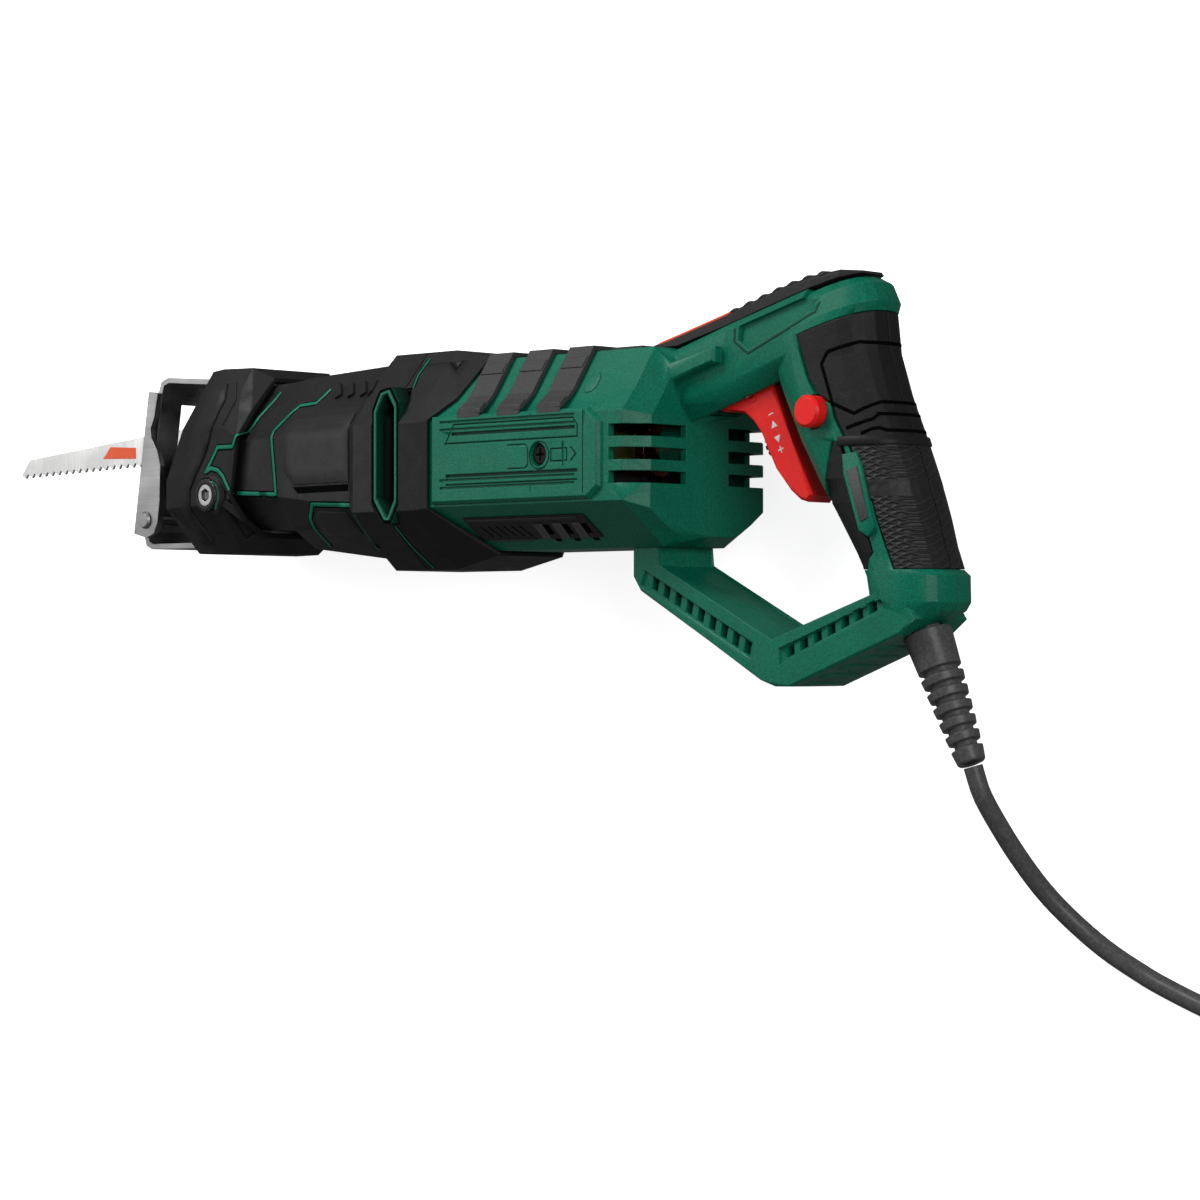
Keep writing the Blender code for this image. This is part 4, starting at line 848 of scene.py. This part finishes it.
def make_trigger_marks():
    """The minus, the two arrows and the plus along the trigger, and the end of its pin."""
    trigger = surface("trigger")
    slope = Vector((4.9, -13.2)).normalized()
    across = Vector((-slope.y, slope.x))
    middle = Vector((97.5, 4.0))

    def spot(along, over):
        """A place on the trigger, along and across its row of marks."""
        return tuple(middle + slope * along + across * over)

    bars = (("mark_less", [spot(-7.0, -1.2), spot(-7.0, 1.2)], 0.05),
            ("mark_more_1", [spot(7.2, -1.4), spot(7.2, 1.4)], 0.05),
            ("mark_more_2", [spot(5.8, 0.0), spot(8.6, 0.0)], 0.06))
    for name, points, height in bars:
        strip(name, points, 0.5, "white", trigger, height=height, body="trigger")
    for name, base, tip in (("mark_slower", -1.6, -4.4), ("mark_faster", 1.8, 4.6)):
        outline = [spot(base, -1.6), spot(tip, 0.0), spot(base, 1.6)]
        plate(name, outline, "white", trigger, height=0.05, body="trigger")
    ring("trigger_pivot_ring", 85.6, 17.5, 2.2, 0.5, "red", trigger, height=0.15, body="trigger")


def make_blade_label():
    """A plain orange patch on the blade, where a real one is printed."""
    blade = surface("saw_blade")
    label = [(-313.7, 9.4), (-308.5, 14.6), (-289.9, 13.6), (-289.9, 8.6)]
    plate("blade_label", label, "orange", blade, height=0.04, body="plunger")


def prism(outline, side, depth):
    """A cutter that sinks an (x, z) outline into the flat side face of the tool."""
    face = side * SHIFT[2]
    levels = (face + side, face - side * depth)
    return loft([[(x, y, z) for x, z in outline] for y in levels])


def mitred(points, half, closed):
    """The two edges of a line of the given half width through (x, z) points."""
    spots = [Vector(p) for p in points]
    sides = ([], [])
    for i, spot in enumerate(spots):
        before = spots[i - 1] if closed or i else None
        after = spots[(i + 1) % len(spots)] if closed or i + 1 < len(spots) else None
        ways = [(b - a).normalized() for a, b in ((before, spot), (spot, after)) if a and b]
        normals = [Vector((-way.y, way.x)) for way in ways]
        mitre = sum(normals, Vector((0, 0))) / (1 + (normals[0].dot(normals[-1]) if len(normals) > 1 else 0))
        sides[0].append(spot + mitre * half)
        sides[1].append(spot - mitre * half)
    return sides


def engraved(points, width, side, depth=0.5, closed=False):
    """A cutter for a groove along a line on the flat side face of the tool."""
    one, two = mitred(points, width / 2, closed)
    if not closed:
        return prism([*one, *two[::-1]], side, depth)
    face = side * SHIFT[2]
    rings = [[(a.x, face + side, a.y), (b.x, face + side, b.y), (b.x, face - side * depth, b.y),
              (a.x, face - side * depth, a.y)] for a, b in zip(one, two)]
    return loft(rings, closed=True)


def add_cutter(obj, name, bm):
    """Cuts a closed shape out of a piece, with the piece's second look on the cut faces."""
    for vert in bm.verts:
        vert.co = at(*vert.co)
    bmesh.ops.recalc_face_normals(bm, faces=bm.faces)
    for face in bm.faces:
        face.material_index = 1
    mesh = bpy.data.meshes.new(name)
    bm.to_mesh(mesh)
    bm.free()
    for material in obj.data.materials:
        mesh.materials.append(material)
    cutter = bpy.data.objects.new(name, mesh)
    scene.collection.objects.link(cutter)
    modifier = obj.modifiers.new("cut", "BOOLEAN")
    modifier.operation = "DIFFERENCE"
    modifier.solver = "MANIFOLD"
    modifier.object = cutter
    return cutter


def carved(name, node, shapes):
    """A stand-in for a CAD node with shallow marks cut into it, painted dark green inside as shade."""
    base = bmesh.new()
    base.from_mesh(NODES[node].data)
    bmesh.ops.remove_doubles(base, verts=base.verts, dist=1e-6)
    mesh = bpy.data.meshes.new(name)
    base.to_mesh(mesh)
    base.free()
    obj = bpy.data.objects.new(name, mesh)
    scene.collection.objects.link(obj)
    mesh.materials.append(NODES[node].data.materials[0])
    # The cut faces take the dark green of painted shade.
    mesh.materials.append(LOOKS["painted_shade_green"])
    cutters = [add_cutter(obj, f"{name}_cutter_{i}", shape) for i, shape in enumerate(shapes)]
    bpy.context.view_layer.update()
    made = bpy.data.meshes.new_from_object(obj.evaluated_get(bpy.context.evaluated_depsgraph_get()))
    obj.modifiers.clear()
    obj.data = made
    for cutter in cutters:
        bpy.data.objects.remove(cutter)
    made.shade_smooth()
    made.set_sharp_from_angle(angle=math.radians(CARVED_SHARP))
    flatten(obj)
    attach(obj, BODY_OF[node])
    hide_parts(node)


def make_side_panel(side):
    """The flat side panel with its ribs, frame, arrow and seams cut into the housing half."""
    left, right = -43.6, 28.6
    outline = [(left, 3.6), (left + 4.6, 10.9), (right - 2.4, 10.9), (right, 8.2), (right, 3.6)]
    lines = [  # points, width, depth, closed
        (outline, 0.55, 0.5, True),
        ([(left + 3.4, 7.2), (right - 1.2, 7.2)], 1.3, 0.9, False),
        ([(left, -9.2), (right, -9.2)], 1.3, 0.9, False),
        ([(left, -12.6), (right, -12.6)], 0.6, 0.5, False),
        ([(-9.0, 1.7), (0.6, 1.7), (2.0, 0.2), (2.0, -6.2), (0.6, -7.4), (-9.0, -7.4)], 0.45, 0.4, False),
        ([(14.6, -0.6), (23.0, -0.6), (23.0, -5.3), (14.6, -5.3)], 0.5, 0.5, True),
        ([(25.0, -0.2), (27.8, -2.9), (25.0, -5.6)], 0.55, 0.5, False),
        ([(31.5, 14.2), (31.5, -18.0)], 0.4, 0.4, False),
        ([(3.4, 13.6), (3.4, 11.8)], 0.35, 0.4, False),
        ([(3.4, -13.6), (3.4, -16.4)], 0.35, 0.4, False),
    ]
    cutters = [engraved(points, width, side, depth, closed) for points, width, depth, closed in lines]
    cutters.append(engraved(circle(8.2, -2.9, 5.3), 0.5, side, 0.5, closed=True))
    tag = SIDE_NAMES[side]
    carved(f"housing_shell_{tag}", f"housing_{tag}", cutters)


def make_bands(side):
    """Thicker lower ends and caps on the bands over the motor, and a bump beyond the last one."""
    tag = SIDE_NAMES[side]
    for number, x in row(-37.6, 22.0, 3):
        block = [(x + 0.4, 13.2), (x + 12.6, 13.2), (x + 12.6, 19.0), (x + 0.4, 19.0)]
        plate(f"band_foot_{number}_{tag}", block, "band", side=side, height=1.3, edge=0.7)
        cap = [(x + 0.6, 31.0), (x + 12.4, 31.0), (x + 12.4, 35.2), (x + 0.6, 35.2)]
        plate(f"band_cap_{number}_{tag}", cap, "band", side=side, height=0.9, edge=0.7)
    bump = [(23.2, 21.4), (22.6, 23.4), (22.6, 26.6), (24.2, 28.4), (27.4, 28.4), (29.0, 26.6), (29.0, 23.0),
            (27.4, 21.0), (24.6, 20.6)]
    plate(f"side_bump_{tag}", bump, "green", side=side, height=0.7, edge=0.8)


def make_inlay_ribs(side):
    """The lip, ticks and grey blocks along the dark inlay under the side panel, with painted shade beside
    each block.
    """
    tag = SIDE_NAMES[side]
    strip(f"inlay_lip_{tag}", [(-40.0, -26.6), (20.0, -26.6)], 1.3, "satin_black", side=side, height=0.5)
    strip(f"inlay_foot_{tag}", [(-34.0, -34.0), (-12.0, -34.0)], 0.8, "satin_black", side=side, height=0.4)
    for number, x in row(-36.0, 4.3, 6):
        tick = [(x, -28.9), (x + 2.4, -32.8)]
        strip(f"inlay_tick_{number}_{tag}", tick, 0.9, "seam_and_painted_shadow", side=side, height=0.05)
    for number, x in row(-6.8, 10.2, 3):
        block = [(x + 0.8, -28.4), (x + 5.0, -28.4), (x + 3.6, -33.8), (x - 0.6, -33.8)]
        plate(f"inlay_block_{number}_{tag}", block, "grey_rib", side=side, height=0.9, edge=0.5)
        # Painted shade: a near-black plate beside each grey block.
        shade = [(x + 5.4, -28.8), (x + 8.2, -28.8), (x + 7.2, -35.0), (x + 4.2, -35.0)]
        plate(f"inlay_painted_shade_{number}_{tag}", shade, "seam_and_painted_shadow", side=side, height=0.06)


def make_arm_marks(side):
    """The moulded line below and behind the long recess in the upper arm, coloured dark green as painted
    shade.
    """
    line = [(84.8, 43.4), (84.6, 37.6), (91.2, 32.9), (124.2, 46.2), (125.8, 49.8)]
    strip(f"arm_line_{SIDE_NAMES[side]}", line, 1.0, "painted_shade_green", side=side, height=0.12)


def make_arm_pad():
    """Ribs across the pad on the upper arm, and the thin bright line along its left edge."""
    pad = surface("arm_pad")

    def top(x, y):
        """The pad's height at a place, or None beside it."""
        hit = pad.ray_cast(Vector((x, y, RAY_TOP)), Vector((0, 0, -1)))[0]
        return hit.z if hit else None

    shares = ((-11.4, 0.3), (-10.4, 0.8), (-8.0, 1.0), (8.0, 1.0), (10.4, 0.8), (11.4, 0.3))
    profile = [(-2.2, -0.5), (-1.6, 0.7), (0.0, 1.15), (1.6, 0.7), (2.2, -0.5)]
    for number, x in row(79.6, 7.2, 7):
        slope = math.atan2(top(x + 2, 0) - top(x - 2, 0), 4.0)
        rings = []
        for y, share in shares:
            z = top(x, y * 0.97)
            rings.append([inside((x + u * math.cos(slope), y, z + v * share + u * math.sin(slope)))
                          for u, v in profile])
        make(f"arm_pad_rib_{number}", loft(rings), "dull_black", "saw")
    edge = [(x, -11.5, top(x, -11.3)) for x in (43.0 + 3.0 * k for k in range(13)) if top(x, -11.3)]
    curve("arm_line", edge, 0.55, "orange", "saw")


def tile(name, outline, look, face, depth, bevel=0.4):
    """A flat tile with bevelled edges: an (x, z) outline standing at a distance to the tool's left."""
    middle = sum((Vector(p) for p in outline), Vector((0, 0))) / len(outline)
    inner = []
    for point in outline:
        inward = (middle - Vector(point)).normalized() * bevel
        inner.append((point[0] + inward.x, point[1] + inward.y))
    levels = ((outline, depth), (outline, bevel * 0.6), (inner, 0.0))
    rings = [[(x, -face + down, z) for x, z in points] for points, down in levels]
    make(name, loft(rings), look, "saw")


def make_grip_plate():
    """The blank plate in its green frame on the spine of the grip."""
    frame_outline = [(139.2, -13.6), (138.6, -6.5), (145.2, -5.8), (147.8, -11.0), (153.4, -33.2),
                     (150.6, -36.4), (146.4, -34.2)]
    tile("grip_plate_frame", frame_outline, "green", 18.1, 3.0)
    plate_outline = [(141.2, -12.4), (145.8, -10.9), (151.0, -29.6), (147.6, -31.2)]
    tile("grip_plate", plate_outline, "grey_rib", 18.6, 2.0)


def make_boot_flange(side):
    """The thick front flange of the rubber boot, standing proud of its side."""
    tag = SIDE_NAMES[side]
    flange = [(-206.0, 36.0), (-195.4, 36.0), (-193.0, 29.0), (-199.0, 11.0), (-202.0, 5.0), (-211.6, -9.0),
              (-211.6, -19.0), (-206.0, -31.0), (-217.0, -31.0), (-222.0, -12.0), (-220.0, 2.0),
              (-214.0, 18.0)]
    plate(f"boot_flange_{tag}", flange, "rubber", BOOT, side, 1.3, edge=1.3)
    crease = [(-190.0, 36.0), (-186.0, 29.0), (-189.5, 18.0)]
    strip(f"boot_crease_{tag}", crease, 1.0, "rubber", BOOT, side, 0.5)


def make_guard_lumps():
    """Rounded lumps in a row under the rear bar of the hand guard."""
    shares = ((-11.5, 0.35), (-9.0, 0.85), (-4.0, 1.0), (4.0, 1.0), (9.0, 0.85), (11.5, 0.35))
    profile = [(-4.6, 1.2), (-3.4, -0.7), (-0.6, -1.8), (2.6, -1.2), (4.6, 1.2)]
    for (number, x), (_, z) in zip(row(113.0, 9.0, 5), row(-89.2, 3.35, 5)):
        rings = []
        for y, share in shares:
            rings.append([(x + u * math.cos(GUARD_SLOPE) - v * math.sin(GUARD_SLOPE) * share, y,
                           max(GUARD_LOW, z + v * share + u * math.sin(GUARD_SLOPE))) for u, v in profile])
        make(f"guard_lump_{number}", loft(rings), "green", "saw")


def make_details():
    """Everything laid on or cut into the CAD surfaces."""
    for side in (LEFT, RIGHT):
        make_cover_lines(side)
        make_boot_flange(side)
        make_bolt_rings(side)
        make_collar_lines(side)
        make_grip_lines(side)
        make_side_panel(side)
        make_bands(side)
        make_inlay_ribs(side)
        make_arm_marks(side)
    make_arm_pad()
    make_grip_back()
    make_grip_plate()
    make_guard_lumps()
    make_trigger_marks()
    make_blade_label()


make_camera()
make_studio()
finish_nodes()
make_cord(make_sleeve())
make_details()
